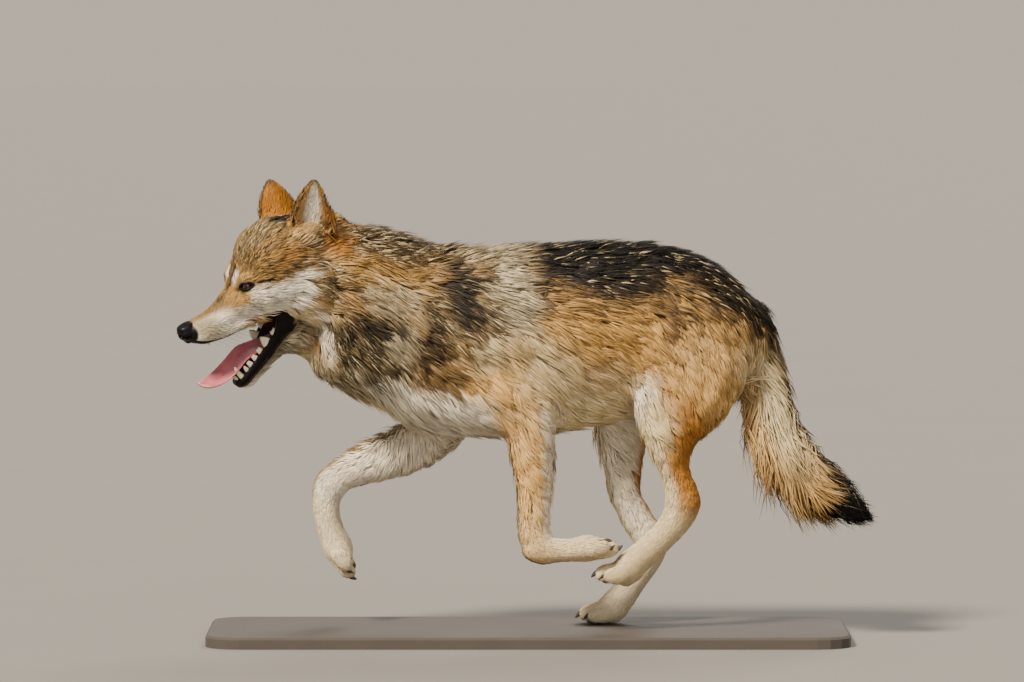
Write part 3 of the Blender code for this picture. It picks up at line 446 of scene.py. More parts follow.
BODY_COAT = (  # x, y, z; lie in x, y, z; length, depth, reach
    (0.000, -0.345, 0.705, 0.0, 1.0, 0.25, 0.050, 0.024, 0.05),      # nape
    (0.000, -0.200, 0.680, 0.0, 1.0, -0.05, 0.055, 0.020, 0.07),     # withers
    (0.000, 0.000, 0.686, 0.0, 1.0, 0.00, 0.055, 0.018, 0.09),       # back
    (0.000, 0.170, 0.690, 0.0, 1.0, 0.00, 0.055, 0.018, 0.09),       # loin
    (0.000, 0.300, 0.670, 0.0, 1.0, -0.30, 0.055, 0.020, 0.07),      # rump
    (0.000, 0.395, 0.590, 0.0, 0.5, -0.85, 0.055, 0.022, 0.06),      # croup
    (0.110, -0.315, 0.600, 0.1, 0.9, -0.42, 0.052, 0.028, 0.07),     # side of the neck
    (0.090, -0.310, 0.500, 0.0, 0.7, -0.72, 0.056, 0.028, 0.07),     # ruff under it
    (0.030, -0.385, 0.510, 0.0, 0.5, -0.85, 0.042, 0.020, 0.05),     # throat
    (0.000, -0.300, 0.440, 0.0, 0.6, -0.80, 0.052, 0.025, 0.06),     # breast
    (0.120, -0.170, 0.580, 0.0, 0.80, -0.60, 0.050, 0.020, 0.07),    # shoulder
    (0.110, -0.200, 0.460, 0.0, 0.75, -0.66, 0.050, 0.022, 0.06),    # point of the shoulder
    (0.125, -0.070, 0.460, 0.0, 0.75, -0.65, 0.045, 0.018, 0.06),    # upper arm
    (0.127, 0.030, 0.560, 0.0, 0.87, -0.48, 0.050, 0.018, 0.07),     # ribs
    (0.115, 0.060, 0.420, 0.0, 0.78, -0.62, 0.055, 0.020, 0.07),     # lower ribs
    (0.030, -0.120, 0.345, 0.0, 0.85, -0.50, 0.055, 0.020, 0.07),    # floor of the chest
    (0.030, 0.080, 0.350, 0.0, 0.95, -0.30, 0.045, 0.016, 0.07),     # belly
    (0.115, 0.160, 0.520, 0.0, 0.85, -0.52, 0.045, 0.016, 0.06),     # flank
    (0.070, 0.190, 0.400, 0.0, 0.75, -0.65, 0.040, 0.014, 0.05),     # groin
    (0.110, 0.270, 0.600, 0.0, 0.60, -0.80, 0.045, 0.016, 0.06),     # hip
    (0.120, 0.275, 0.480, 0.0, 0.35, -0.93, 0.036, 0.012, 0.06),     # thigh
    (0.080, 0.365, 0.470, 0.0, 0.35, -0.93, 0.052, 0.018, 0.05),     # buttock
)
HEAD_COAT = (  # the same in the head's own axes
    (0.000, -0.110, -0.030, 0.0, 1.0, 0.10, 0.0050, 0.0014, 0.018),   # behind the nose
    (0.022, -0.100, -0.062, 0.1, 1.0, -0.15, 0.0065, 0.0018, 0.018),  # whisker pad
    (0.000, -0.060, -0.018, 0.0, 1.0, 0.20, 0.0070, 0.0020, 0.020),   # bridge
    (0.028, -0.055, -0.050, 0.1, 1.0, -0.10, 0.0085, 0.0022, 0.020),  # side of the muzzle
    (0.000, -0.015, 0.020, 0.0, 0.8, 0.60, 0.0090, 0.0028, 0.018),    # stop
    (0.032, -0.020, -0.025, 0.3, 1.0, -0.20, 0.0085, 0.0022, 0.016),  # below the eye
    (0.032, -0.002, 0.022, 0.35, 0.8, 0.50, 0.0090, 0.0030, 0.014),   # brow
    (0.000, 0.030, 0.066, 0.0, 1.0, 0.35, 0.0150, 0.0050, 0.030),     # forehead
    (0.050, 0.025, 0.005, 0.25, 1.0, 0.05, 0.0130, 0.0035, 0.022),    # behind the eye
    (0.052, 0.035, -0.045, 0.2, 1.0, -0.20, 0.0180, 0.0050, 0.026),   # cheek
    (0.040, 0.030, -0.075, 0.1, 1.0, -0.35, 0.0075, 0.0025, 0.018),   # corner of the mouth
    (0.045, 0.075, 0.055, 0.2, 1.0, 0.25, 0.0170, 0.0060, 0.030),     # temple
    (0.070, 0.085, -0.020, 0.3, 0.95, -0.25, 0.0300, 0.0100, 0.030),  # jowl
    (0.082, 0.125, -0.050, 0.35, 0.85, -0.50, 0.0420, 0.0160, 0.040), # ruff
    (0.050, 0.110, -0.120, 0.15, 0.80, -0.60, 0.0420, 0.0160, 0.040), # under the ruff
    (0.020, 0.060, -0.150, 0.0, 0.90, -0.40, 0.0260, 0.0090, 0.030),  # throat
    (0.000, 0.140, 0.070, 0.0, 1.0, 0.05, 0.0350, 0.0140, 0.040),     # behind the crown
)
JAW_COAT = (  # the same for the lower jaw as it is when shut
    (0.000, -0.110, -0.095, 0.0, 1.0, -0.25, 0.0060, 0.0018, 0.018),
    (0.016, -0.060, -0.095, 0.0, 1.0, -0.15, 0.0080, 0.0022, 0.022),
    (0.030, 0.000, -0.092, 0.1, 1.0, -0.15, 0.0080, 0.0025, 0.022),
    (0.040, 0.045, -0.085, 0.1, 1.0, -0.20, 0.0120, 0.0040, 0.022),
)


def turned(matrix, rows):
    """Coat rows of a turned frame, in the frame of the wolf."""
    rows = np.array(rows, float)
    rows[:, :3] = carried(matrix, rows[:, :3])
    rows[:, 3:6] = rows[:, 3:6] @ matrix[:3, :3].T
    return rows


def both_sides(rows):
    rows = np.array(rows, float)
    twin = rows[rows[:, 0] > 0] * np.array([-1, 1, 1, -1, 1, 1, 1, 1, 1])
    return np.vstack([rows, twin])


def heading(path, i):
    """Which way a path runs at one of its points."""
    way = path[min(i + 1, len(path) - 1), :3] - path[max(i - 1, 0), :3]
    return way / np.linalg.norm(way)


coat = [both_sides(BODY_COAT), turned(HEAD, both_sides(HEAD_COAT)),
        turned(HEAD @ JAW, both_sides(JAW_COAT))]
LEG_COAT = (  # length, depth, reach, from the hip or shoulder to the toes
    (0.036, 0.0100, 0.040), (0.026, 0.0070, 0.040), (0.017, 0.0040, 0.026), (0.013, 0.0028, 0.026),
    (0.011, 0.0022, 0.026), (0.010, 0.0018, 0.026), (0.009, 0.0018, 0.026), (0.008, 0.0018, 0.026))
leg_paths = {}
for leg, (side, offset, path) in LEGS.items():
    leg_paths[leg] = path = np.array(path) * (side, 1, 1) + (side * offset, 0, 0)
    first = 1 if leg.startswith("hind") else 0      # a hind leg's first point is deep in the haunch
    for i in range(first, len(path)):
        coat.append(np.array([[*path[i], *heading(path, i), *LEG_COAT[i]]]))
tail_path = np.array(TAIL)
TAIL_LENGTHS = (0.060, 0.062, 0.070, 0.072, 0.070, 0.062, 0.046, 0.024)
TAIL_COAT = (0.62, 0.62, 0.64, 0.66, 0.68, 0.70, 0.72, 0.50)       # share of the radius that is coat
TAIL_REACH = 0.045
for i, spot in enumerate(tail_path):
    coat.append(np.array([[*spot[:3], *heading(tail_path, i), TAIL_LENGTHS[i],
                           spot[3] * TAIL_COAT[i], TAIL_REACH]]))
EAR_COAT = (  # heights up the ear; how far behind its leaf; length, depth, reach
    ((0.20, 0.42, 0.64, 0.86), 0.008, (0.0050, 0.0009, 0.020)),
    ((0.15, 0.40), 0.020, (0.0070, 0.0014, 0.016)))
for root, tip, axis, looks, across in ear_axes.values():
    for heights, behind, hair in EAR_COAT:
        for height in heights:
            spot = root.lerp(tip, height) - looks * behind
            coat.append(turned(HEAD, [[*spot, *axis, *hair]]))
coat = np.vstack(coat)
coat[:, 3:6] /= np.linalg.norm(coat[:, 3:6], axis=1, keepdims=True)
AT_ONCE = 100000                 # points handled together, to keep within memory


def coat_at(points):
    """The lie (3), length and depth of the coat at points, blended."""
    result = np.zeros((len(points), 5))
    for first in range(0, len(points), AT_ONCE):
        part = points[first:first + AT_ONCE]
        away = ((part[:, None, :] - coat[None, :, :3]) ** 2).sum(-1)
        weight = -away / (2 * coat[None, :, 8] ** 2)
        weight = np.exp(weight - weight.max(1, keepdims=True))
        weight /= weight.sum(1, keepdims=True)
        result[first:first + AT_ONCE] = weight @ coat[:, 3:8]
    return result


# ============================================================ body of the skin
# The hide under the coat: the frame's flesh solids follow the tips of the
# coat, so it is the surface that lies inside them by the coat's depth.
BODY_GRAIN, BODY_REACH = 0.0025, 20.0
body = Clay(((-0.150, -0.460, 0.010), (0.150, 0.620, 0.730)), BODY_GRAIN, BODY_REACH)
FLESH = [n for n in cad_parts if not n.startswith(("claw", "eye", "stand", "tongue", "nose"))]


def read(things, key, width, kind=np.float32):
    """One value of each thing of a mesh, as rows of the given width."""
    values = np.empty(len(things) * width, kind)
    things.foreach_get(key, values)
    return values.reshape(-1, width)


def solid(name):
    """Points and triangles of a solid of the frame."""
    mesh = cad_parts[name].data
    mesh.calc_loop_triangles()
    return read(mesh.vertices, "co", 3), read(mesh.loop_triangles, "vertices", 3, np.int32)


for name in FLESH:
    if not name.startswith(("ear", "lower_jaw")):
        body.add(body.of(*solid(name)), 0.010 if name.endswith("foot") else 0.012)
# the hair-thin gaps between the solids are closed before the depth is measured
CLOSING = 0.0024
points, triangles, quads = body.surface(body.away - CLOSING)
body.away = body.of(points, np.vstack([triangles, halved(quads)]))
body.away = softly(body.away + CLOSING, 3)
COARSE = 6                       # the coat's depth changes slowly, so it is worked out coarsely
coarse_lines = [(np.arange(0, n + COARSE, COARSE) + c) * BODY_GRAIN
                for n, c in zip(body.shape, body.low)]
coarse = np.stack(np.meshgrid(*coarse_lines, indexing="ij"), -1)
depth = coat_at(coarse.reshape(-1, 3))[:, 4].reshape(coarse.shape[:3]).astype(np.float32)
for axis in range(3):
    at = np.arange(body.shape[axis]) / COARSE
    low = at.astype(int)
    share = (at - low).astype(np.float32).reshape([-1 if k == axis else 1 for k in range(3)])
    depth = np.take(depth, low, axis) * (1 - share) + np.take(depth, low + 1, axis) * share
body.away = softly(body.away + depth, 2)

# ---- feet: four toes over a middle pad, with clefts between the toes
FEET = {  # the way the toes point and the way the back of the foot faces, in y and z
    "foreleg_left": ((1.0, 0.02), (0.02, -1.0)), "foreleg_right": ((0.50, -0.87), (-0.87, -0.50)),
    "hindleg_left": ((-0.97, -0.05), (-0.05, 1.0)), "hindleg_right": ((-1.0, -0.12), (-0.12, 1.0)),
}
TOES = (  # sideways, ahead, above; half width, half length, half height
    (0.0245, -0.003, 0.000, 0.0108, 0.0215, 0.0138),
    (0.0090, 0.008, 0.003, 0.0112, 0.0240, 0.0152),
)
KNUCKLE_BACK, KNUCKLE_UP, KNUCKLE = 0.010, 0.004, (0.009, 0.011, 0.0120)
CLEFTS, CLEFT = (0.0, 0.0175), (0.0013, 0.022, 0.014)      # sideways places; half sizes
foot_turns = {}
for leg, (toes, back) in FEET.items():
    ahead = Vector((0, *toes)).normalized()
    out = Vector((0, *back))
    out = (out - ahead * out.dot(ahead)).normalized()
    foot_turns[leg] = turn = np.array(Matrix((ahead.cross(out), ahead, out)).transposed())
    middle = leg_paths[leg][-1]
    for side in (1, -1):
        for sideways, forward, above, *half in TOES:
            body.egg(turn @ (sideways * side, forward, above) + middle, half, turn=turn, blend=0.004)
            body.egg(turn @ (sideways * side, forward - KNUCKLE_BACK, above + KNUCKLE_UP) + middle,
                     KNUCKLE, turn=turn, blend=0.005)
    body.egg(turn @ (0, -0.022, 0.003) + middle, (0.0250, 0.0250, 0.0160), turn=turn, blend=0.010)
    for side in (1, -1):
        for sideways in CLEFTS:
            body.egg(turn @ (sideways * side, 0.014, 0.006) + middle, CLEFT,
                     turn=turn, blend=0.0040, cut=True)
# the bent wrist of the near foreleg, and the points of both hocks
for centre, radii in (((0.073, 0.010, 0.172), (0.0165, 0.0200, 0.0200)),
                      ((0.067, 0.262, 0.252), (0.0140, 0.0170, 0.0240)),
                      ((-0.067, 0.186, 0.210), (0.0140, 0.0160, 0.0240))):
    body.egg(centre, radii, blend=0.016)


def rising(values, start, reach):
    """0 up to the start, 1 from the start and the reach onwards."""
    return np.clip((values - start) / reach, 0, 1)


def falling(values, end, reach):
    """1 until the reach is left, 0 from the end onwards."""
    return np.clip((end - values) / reach, 0, 1)


# ahead of the ears the finer head stands in for the body, and behind them it
# thins away under the body, so that the two join on one clean line
BODY_FROM, SEAM_AT = 0.055, 0.150            # distances behind the eyes
HEAD_SINK, BODY_SINK = 0.014, 0.0012         # how far each draws in beyond the seam
to_head = np.linalg.inv(HEAD)
x, y, z = body.axes()
behind = to_head[1, 0] * x + to_head[1, 1] * y + to_head[1, 2] * z + to_head[1, 3]
body.cut(np.maximum(behind - BODY_FROM, 0.45 - z).astype(np.float32), 0.012)
points, triangles, quads = body.surface(body.away)
head.add(head.of(carried(to_head, points), np.vstack([triangles, halved(quads)])), 0.030)
body.away = body.away + (falling(behind, SEAM_AT, 0.02) * BODY_SINK * (z > 0.42)).astype(np.float32)
sunk = rising(head.axes()[1], SEAM_AT, 0.045) ** 2 * HEAD_SINK
head.away = head.away + sunk.astype(np.float32)


# ================================================================== markings
# What colour the coat is where. Each colour is that of the wool at the root,
# the pale or tan band, and the tip of the hair, as wolf hair is banded.
def linear(hex_colour):
    parts = [int(hex_colour[i:i + 2], 16) / 255 for i in (0, 2, 4)]
    return [c / 12.92 if c <= 0.04045 else ((c + 0.055) / 1.055) ** 2.4 for c in parts]


HAIR = {  # root, band, tip
    "tan": ("8C6E42", "B98F58", "A27D48"),
    "sand": ("B08A50", "DCAE6C", "CFA25E"),
    "ochre": ("80602E", "B08642", "966F34"),
    "orange": ("84551F", "B4772A", "9E6624"),
    "rust": ("5C4022", "78542C", "48341E"),
    "umber": ("584830", "766040", "423524"),
    "fawn": ("80663C", "A88450", "8E6E3C"),
    "cream": ("BCA67C", "EAD6AC", "E0CA98"),
    "white": ("DCCEB0", "F9EED8", "F3E7CC"),
    "pale grey": ("84785E", "C2B594", "A89B7E"),
    "grey": ("685F4C", "8E8268", "5E5544"),
    "grizzled": ("75674A", "B4A37C", "3A3022"),
    "grey brown": ("584C38", "766646", "342C20"),
    "brown": ("3C3020", "54422A", "221A12"),
    "dark": ("221C14", "2A2218", "100D09"),
    "saddle": ("1C1710", "17130E", "080605"),
    "black": ("0D0B08", "0B0907", "050404"),
}
HAIR = {name: np.array([linear(tone) for tone in tones]) for name, tones in HAIR.items()}

SIDE_MARKS = (  # colour; y, z; half length, half height; tilt; strength; softness
    # belly, chest and upper arm
    ("cream", 0.080, 0.385, 0.170, 0.050, 0, 0.75, 0.5),
    ("sand", -0.050, 0.450, 0.085, 0.062, -20, 0.9, 0.5),
    ("white", -0.120, 0.380, 0.105, 0.040, -16, 1.0, 0.4),
    ("white", -0.235, 0.432, 0.070, 0.028, -24, 0.9, 0.4),
    ("cream", 0.030, 0.470, 0.045, 0.055, -35, 0.7, 0.6),
    ("ochre", 0.140, 0.535, 0.100, 0.055, -4, 0.75, 0.5),
    ("cream", 0.110, 0.450, 0.075, 0.035, 0, 0.3, 0.6),
    # neck and shoulder
    ("ochre", -0.250, 0.630, 0.085, 0.055, -14, 0.70, 0.6),
    ("grizzled", -0.210, 0.690, 0.150, 0.038, 0, 0.9, 0.4),
    ("orange", -0.322, 0.684, 0.020, 0.032, 20, 0.9, 0.5),
    ("grey brown", -0.334, 0.620, 0.024, 0.040, 10, 0.9, 0.5),
    ("pale grey", -0.235, 0.585, 0.055, 0.034, -14, 0.8, 0.5),
    ("grey brown", -0.270, 0.500, 0.090, 0.058, -18, 0.95, 0.4),
    # a dark band behind the cheek's ruff: partly dark hair, partly a painted shadow that the ruff casts on
    # the neck
    ("dark", -0.258, 0.545, 0.052, 0.020, -10, 0.95, 0.5),
    ("dark", -0.316, 0.520, 0.024, 0.024, -30, 0.85, 0.5),
    ("pale grey", -0.215, 0.515, 0.030, 0.026, -30, 0.6, 0.5),
    ("pale grey", -0.330, 0.448, 0.060, 0.020, -38, 0.85, 0.5),
    ("white", -0.345, 0.530, 0.012, 0.046, 8, 0.9, 0.5),
    ("grey brown", -0.090, 0.560, 0.095, 0.085, 0, 0.85, 0.5),
    ("pale grey", -0.020, 0.605, 0.036, 0.088, 14, 0.9, 0.5),
    ("pale grey", -0.060, 0.668, 0.055, 0.020, 6, 0.5, 0.6),
    ("grizzled", -0.045, 0.692, 0.085, 0.016, 0, 0.85, 0.6),
    ("dark", -0.112, 0.595, 0.032, 0.056, 24, 0.95, 0.5),
    ("dark", -0.166, 0.510, 0.020, 0.070, -8, 0.9, 0.5),
    ("dark", -0.135, 0.450, 0.022, 0.034, -20, 0.7, 0.6),
    ("cream", -0.060, 0.500, 0.040, 0.026, 40, 0.5, 0.6),
    ("brown", -0.048, 0.388, 0.046, 0.012, -18, 0.8, 0.6),
    # saddle and rump
    ("umber", 0.100, 0.598, 0.075, 0.034, -12, 0.85, 0.5),
    ("black", 0.078, 0.660, 0.072, 0.046, 4, 1.0, 0.35),
    ("dark", 0.026, 0.606, 0.011, 0.056, 6, 0.95, 0.7),
    ("dark", 0.190, 0.610, 0.130, 0.030, -12, 0.80, 0.8),
    ("saddle", 0.220, 0.668, 0.190, 0.046, -4, 1.0, 0.5),
    ("saddle", 0.150, 0.630, 0.080, 0.034, -12, 0.95, 0.6),
    ("umber", 0.305, 0.570, 0.085, 0.044, -26, 0.85, 0.6),
    ("saddle", 0.350, 0.606, 0.110, 0.040, -38, 0.95, 0.45),
    ("dark", 0.408, 0.545, 0.080, 0.022, -64, 0.95, 0.5),
    ("grey", 0.300, 0.492, 0.034, 0.034, -20, 0.7, 0.6),
    ("rust", 0.238, 0.540, 0.010, 0.050, 8, 0.8, 0.5),
    # haunch
    ("sand", 0.320, 0.445, 0.080, 0.085, 10, 0.75, 0.6),
    ("cream", 0.392, 0.430, 0.032, 0.075, 12, 0.9, 0.5),
    ("white", 0.188, 0.395, 0.022, 0.060, -18, 0.85, 0.5),
    ("orange", 0.268, 0.330, 0.026, 0.090, -4, 0.7, 0.5),
)
HEAD_MARKS = (  # colour; x, y, z; half sizes; strength; softness
    # crown and brow, and behind the cheek
    ("umber", 0.030, 0.050, 0.050, 0.060, 0.085, 0.050, 0.95, 0.5),
    ("grey brown", 0.000, 0.045, 0.066, 0.036, 0.070, 0.034, 0.75, 0.6),
    ("brown", 0.026, 0.022, 0.040, 0.020, 0.040, 0.014, 0.55, 0.6),
    ("orange", 0.062, 0.088, 0.026, 0.020, 0.036, 0.020, 0.6, 0.6),
    ("grey brown", 0.086, 0.112, -0.012, 0.026, 0.040, 0.036, 0.90, 0.6),
    ("brown", 0.080, 0.080, 0.008, 0.022, 0.036, 0.011, 0.8, 0.6),
    # white cheek
    ("white", 0.062, 0.052, -0.036, 0.042, 0.058, 0.033, 1.0, 0.20),
    ("white", 0.052, 0.020, -0.018, 0.024, 0.034, 0.019, 1.0, 0.30),
    ("white", 0.076, 0.084, -0.022, 0.022, 0.024, 0.022, 1.0, 0.25),
    ("white", 0.040, 0.002, -0.042, 0.022, 0.050, 0.018, 0.9, 0.5),
    # muzzle, from under the eye and the bridge down to the lips
    ("ochre", 0.038, -0.012, -0.020, 0.014, 0.022, 0.009, 0.75, 0.5),
    ("umber", 0.000, -0.075, -0.022, 0.022, 0.055, 0.016, 0.8, 0.5),
    ("brown", 0.000, -0.045, -0.006, 0.0095, 0.072, 0.018, 0.9, 0.5),
    ("brown", 0.002, 0.002, 0.040, 0.0050, 0.034, 0.040, 0.7, 0.6),
    ("ochre", 0.018, -0.030, -0.008, 0.010, 0.022, 0.010, 0.8, 0.6),
    ("white", 0.026, -0.072, -0.051, 0.018, 0.058, 0.025, 0.95, 0.4),
    ("pale grey", 0.018, -0.104, -0.053, 0.024, 0.036, 0.023, 1.0, 0.4),
    ("white", 0.012, -0.112, -0.064, 0.022, 0.026, 0.012, 0.8, 0.5),
    ("grey", 0.000, -0.118, -0.034, 0.012, 0.014, 0.008, 0.8, 0.6),
    ("dark", 0.026, -0.075, -0.0745, 0.016, 0.060, 0.0048, 0.9, 0.5),
    ("grey", 0.024, -0.085, -0.0600, 0.012, 0.026, 0.0030, 0.5, 0.6),
    # round the eye
    ("white", 0.018, -0.015, 0.013, 0.008, 0.009, 0.013, 0.95, 0.5),
    ("dark", 0.0075, -0.014, 0.020, 0.0036, 0.024, 0.028, 1.0, 0.5),
    ("ochre", 0.036, 0.002, 0.019, 0.012, 0.014, 0.007, 0.9, 0.4),
    ("black", 0.030, -0.016, -0.004, 0.012, 0.012, 0.0035, 0.9, 0.5),
    ("black", 0.056, 0.030, 0.005, 0.018, 0.034, 0.0028, 1.0, 0.4),
    # between the ears: black, a painted shadow that the near ear casts on the crown, and dark hair beside
    # each ear's inner root
    ("black", 0.000, 0.104, 0.072, 0.026, 0.026, 0.030, 0.95, 0.4),
    ("dark", 0.040, 0.096, 0.056, 0.018, 0.014, 0.014, 0.8, 0.5),
    # under the cheek, and the throat
    ("cream", 0.060, 0.060, -0.085, 0.040, 0.045, 0.026, 0.8, 0.5),
    ("pale grey", 0.030, 0.070, -0.130, 0.050, 0.060, 0.030, 0.8, 0.6),
)
JAW_MARKS = (  # the same for the lower jaw as it is when shut
    ("white", 0.000, -0.070, -0.105, 0.060, 0.080, 0.025, 0.9, 0.4),
    ("pale grey", 0.030, 0.010, -0.095, 0.040, 0.060, 0.030, 0.9, 0.5),
    ("grey", 0.020, -0.030, -0.105, 0.030, 0.040, 0.016, 0.5, 0.6),
)


def speckle(points, size, seed):
    """Smooth random values, about -1 to 1, that change over the given size."""
    at = points / size + 100.0
    cell = np.floor(at).astype(np.int64)
    within = at - cell
    within = within * within * (3 - 2 * within)
    result = 0
    for corner, share in cell_corners(within):
        # large primes mix a corner's three numbers and the seed into one
        x, y, z = (cell + corner).T
        mixed = (x * 73856093) ^ (y * 19349663) ^ (z * 83492791) ^ (seed * 2654435761)
        mixed = (mixed ^ (mixed >> 13)) * 1274126177 & 0xFFFF
        result = result + share * (mixed / 32767.5 - 1)
    return result


def fade(near, softness):
    """1 inside a mark's outline, falling to 0 outside it."""
    t = np.clip((1 + softness - near) / (2 * softness), 0, 1)
    return t * t * (3 - 2 * t)


dense_legs = {leg: eased(path, 8) for leg, path in leg_paths.items()}
dense_tail = eased(tail_path, 8)
to_jaw = np.linalg.inv(HEAD @ JAW)


def beside(points, path):
    """How far along a path each point is, its offset from it, how far off, and the way there."""
    ways = np.gradient(path[:, :3], axis=0)
    ways /= np.linalg.norm(ways, axis=1, keepdims=True)
    near = ((points[:, None, :] - path[None, :, :3]) ** 2).sum(-1).argmin(1)
    offset = points - path[near, :3]
    return near / (len(path) - 1), offset, np.linalg.norm(offset, axis=1), ways[near]


def square_to(way, turn):
    """Directions square to a path in the y-z plane: turn 1 gives a leg's front, -1 a tail's top."""
    return np.stack([np.zeros(len(way)), way[:, 2] * turn, -way[:, 1] * turn], 1)


def near_tail(points, start):
    """Which points could be of the tail: those behind a place and near the middle."""
    return np.flatnonzero((points[:, 1] > start) & (np.abs(points[:, 0]) < 0.09))


MIXED = {  # in these, a share of the tufts has another colour
    "saddle": ("grizzled", 0.15), "grizzled": ("dark", 0.30), "grey brown": ("pale grey", 0.18),
    "brown": ("tan", 0.18), "rust": ("dark", 0.30), "pale grey": ("grey", 0.30),
    "dark": ("grey brown", 0.20), "black": ("grizzled", 0.06), "ochre": ("sand", 0.30),
    "umber": ("ochre", 0.35),
}


def mark_legs(paint, points):
    """Pale shins, a dark stripe down each foreleg, an orange back to each hind leg."""
    low = np.flatnonzero((points[:, 2] < 0.43) & (np.abs(points[:, 0]) > 0.012))
    part = points[low]
    best = np.full(len(low), 1e9)
    along, front, inner = np.zeros((3, len(low)))
    hind = np.zeros(len(low), bool)
    for leg, path in dense_legs.items():
        t, offset, away, way = beside(part, path)
        side = 1 if leg.endswith("left") else -1
        closer = (away < best) & (part[:, 0] * side > 0)
        best = np.where(closer, away, best)
        along = np.where(closer, t, along)
        front = np.where(closer, (offset * square_to(way, 1)).sum(1) / (away + 1e-9), front)
        inner = np.where(closer, -offset[:, 0] * side / (away + 1e-9), inner)
        hind = np.where(closer, leg.startswith("hind"), hind)
    on_leg = falling(best, 0.075, 0.02) * falling(part[:, 2], 0.42, 0.05)
    foot = rising(along, 0.62, 0.12)
    fore, rear = on_leg * ~hind, on_leg * hind
    stripe = rising(front, 0.84, 0.12) * rising(along, 0.10, 0.1)
    for colour, weight in (
            ("sand", fore * 0.85),
            ("cream", fore * rising(along, 0.25, 0.3) * 0.45),
            ("orange", rear * rising(-front, 0.0, 0.6) * (1 - foot) * 0.75),
            ("cream", rear * rising(front, 0.1, 0.5) * 0.85),
            ("white", fore * rising(-front, 0.45, 0.4) * 0.75),
            ("white", on_leg * rising(inner, 0.15, 0.5) * 0.85),
            ("grey brown", fore * stripe * falling(along, 0.86, 0.1) * 0.85),
            ("cream", on_leg * foot * 0.7)):
        paint(colour, weight, low)


def mark_tail(paint, points):
    """Cream at the root, ochre and sand beyond it, a dark line on top and a black end."""
    rear = near_tail(points, 0.33)
    t, offset, away, way = beside(points[rear], dense_tail)
    top = (offset * square_to(way, -1)).sum(1) / (away + 1e-9)
    on_tail = falling(away, 0.062, 0.012) * rising(t, 0.10, 0.10)
    for colour, weight in (
            ("cream", on_tail * 0.9),
            ("ochre", on_tail * rising(t, 0.30, 0.30) * 0.85),
            ("sand", on_tail * rising(-top, 0.1, 0.5) * falling(t, 0.75, 0.3) * 0.7),
            ("dark", on_tail * rising(top, 0.78, 0.14) * 0.9),
            ("black", on_tail * rising(t + 0.05 * top, 0.64, 0.06))):
        paint(colour, weight, rear)


def mark_face(paint, points, ragged, share, near):
    """The marks of the head and jaw, with crisper edges than those of the body."""
    paint("fawn", share, near)
    in_head = carried(to_head, points * 0.55 + ragged * 0.45)
    in_jaw = carried(to_jaw, ragged)
    on_jaw = (in_jaw[:, 2] < -0.070) * (in_jaw[:, 1] < 0.06) * share
    for marks, local, limit in ((HEAD_MARKS, in_head, share), (JAW_MARKS, in_jaw, on_jaw)):
        for colour, x, y, z, wide, long, tall, strength, softness in marks:
            away = np.sqrt(((np.abs(local[:, 0]) - x) / wide) ** 2
                           + ((local[:, 1] - y) / long) ** 2 + ((local[:, 2] - z) / tall) ** 2)
            paint(colour, strength * fade(away, softness) * limit, near)


def mark_ears(paint, points, normals, near):
    """Orange backs and pale insides, with darker rims and tips."""
    facing = normals @ to_head[:3, :3].T
    in_head = carried(to_head, points)
    leaf = np.array(EAR_LEAF)
    for side, (root, tip, axis, looks, across) in ear_axes.items():
        from_root = in_head - np.array(root)
        height = from_root @ np.array(axis) / (tip - root).length
        forward = -side * (from_root @ np.array(across))
        sideways = np.abs(forward)
        half = np.interp(height, leaf[:, 0], leaf[:, 1])
        mine = ((height > 0.08) & (sideways < half + 0.006)
                & (np.abs(from_root @ np.array(looks) + 0.008) < 0.030)) * rising(height, 0.08, 0.15)
        inner = np.clip(facing @ np.array(looks) * 2.5 + 0.1, 0, 1)
        middle = np.clip(1.9 - sideways / half * 3.4, 0, 1)
        rim = rising(sideways / half, 0.94, 0.08)
        front_edge = rising(forward / half, 0.97, 0.06) * rising(height, 0.25, 0.15)
        for colour, weight in (
                ("orange", 1 - inner),
                ("tan", inner),
                ("white", inner * middle * rising(height, 0.24, 0.12)),
                ("ochre", inner * rim * 0.9),
                ("dark", rising(height, 0.90, 0.08) * 0.8),
                ("dark", (1 - inner) * rim * 0.4),
                ("dark", front_edge * 0.7)):
            paint(colour, mine * weight, near)


# the head's coat fills three eggs: middle, half sizes and softness of each
CRANIUM = ((0, 0.03, -0.03), (0.115, 0.130, 0.120), 0.12)
MUZZLE = ((0, -0.070, -0.050), (0.045, 0.095, 0.050), 0.15)
UNDER_JAW = ((0, -0.035, -0.090), (0.050, 0.100, 0.040), 0.15)


def inside(egg, points):
    middle, radii, softness = egg
    return fade(np.linalg.norm((points - middle) / radii, axis=1), softness)


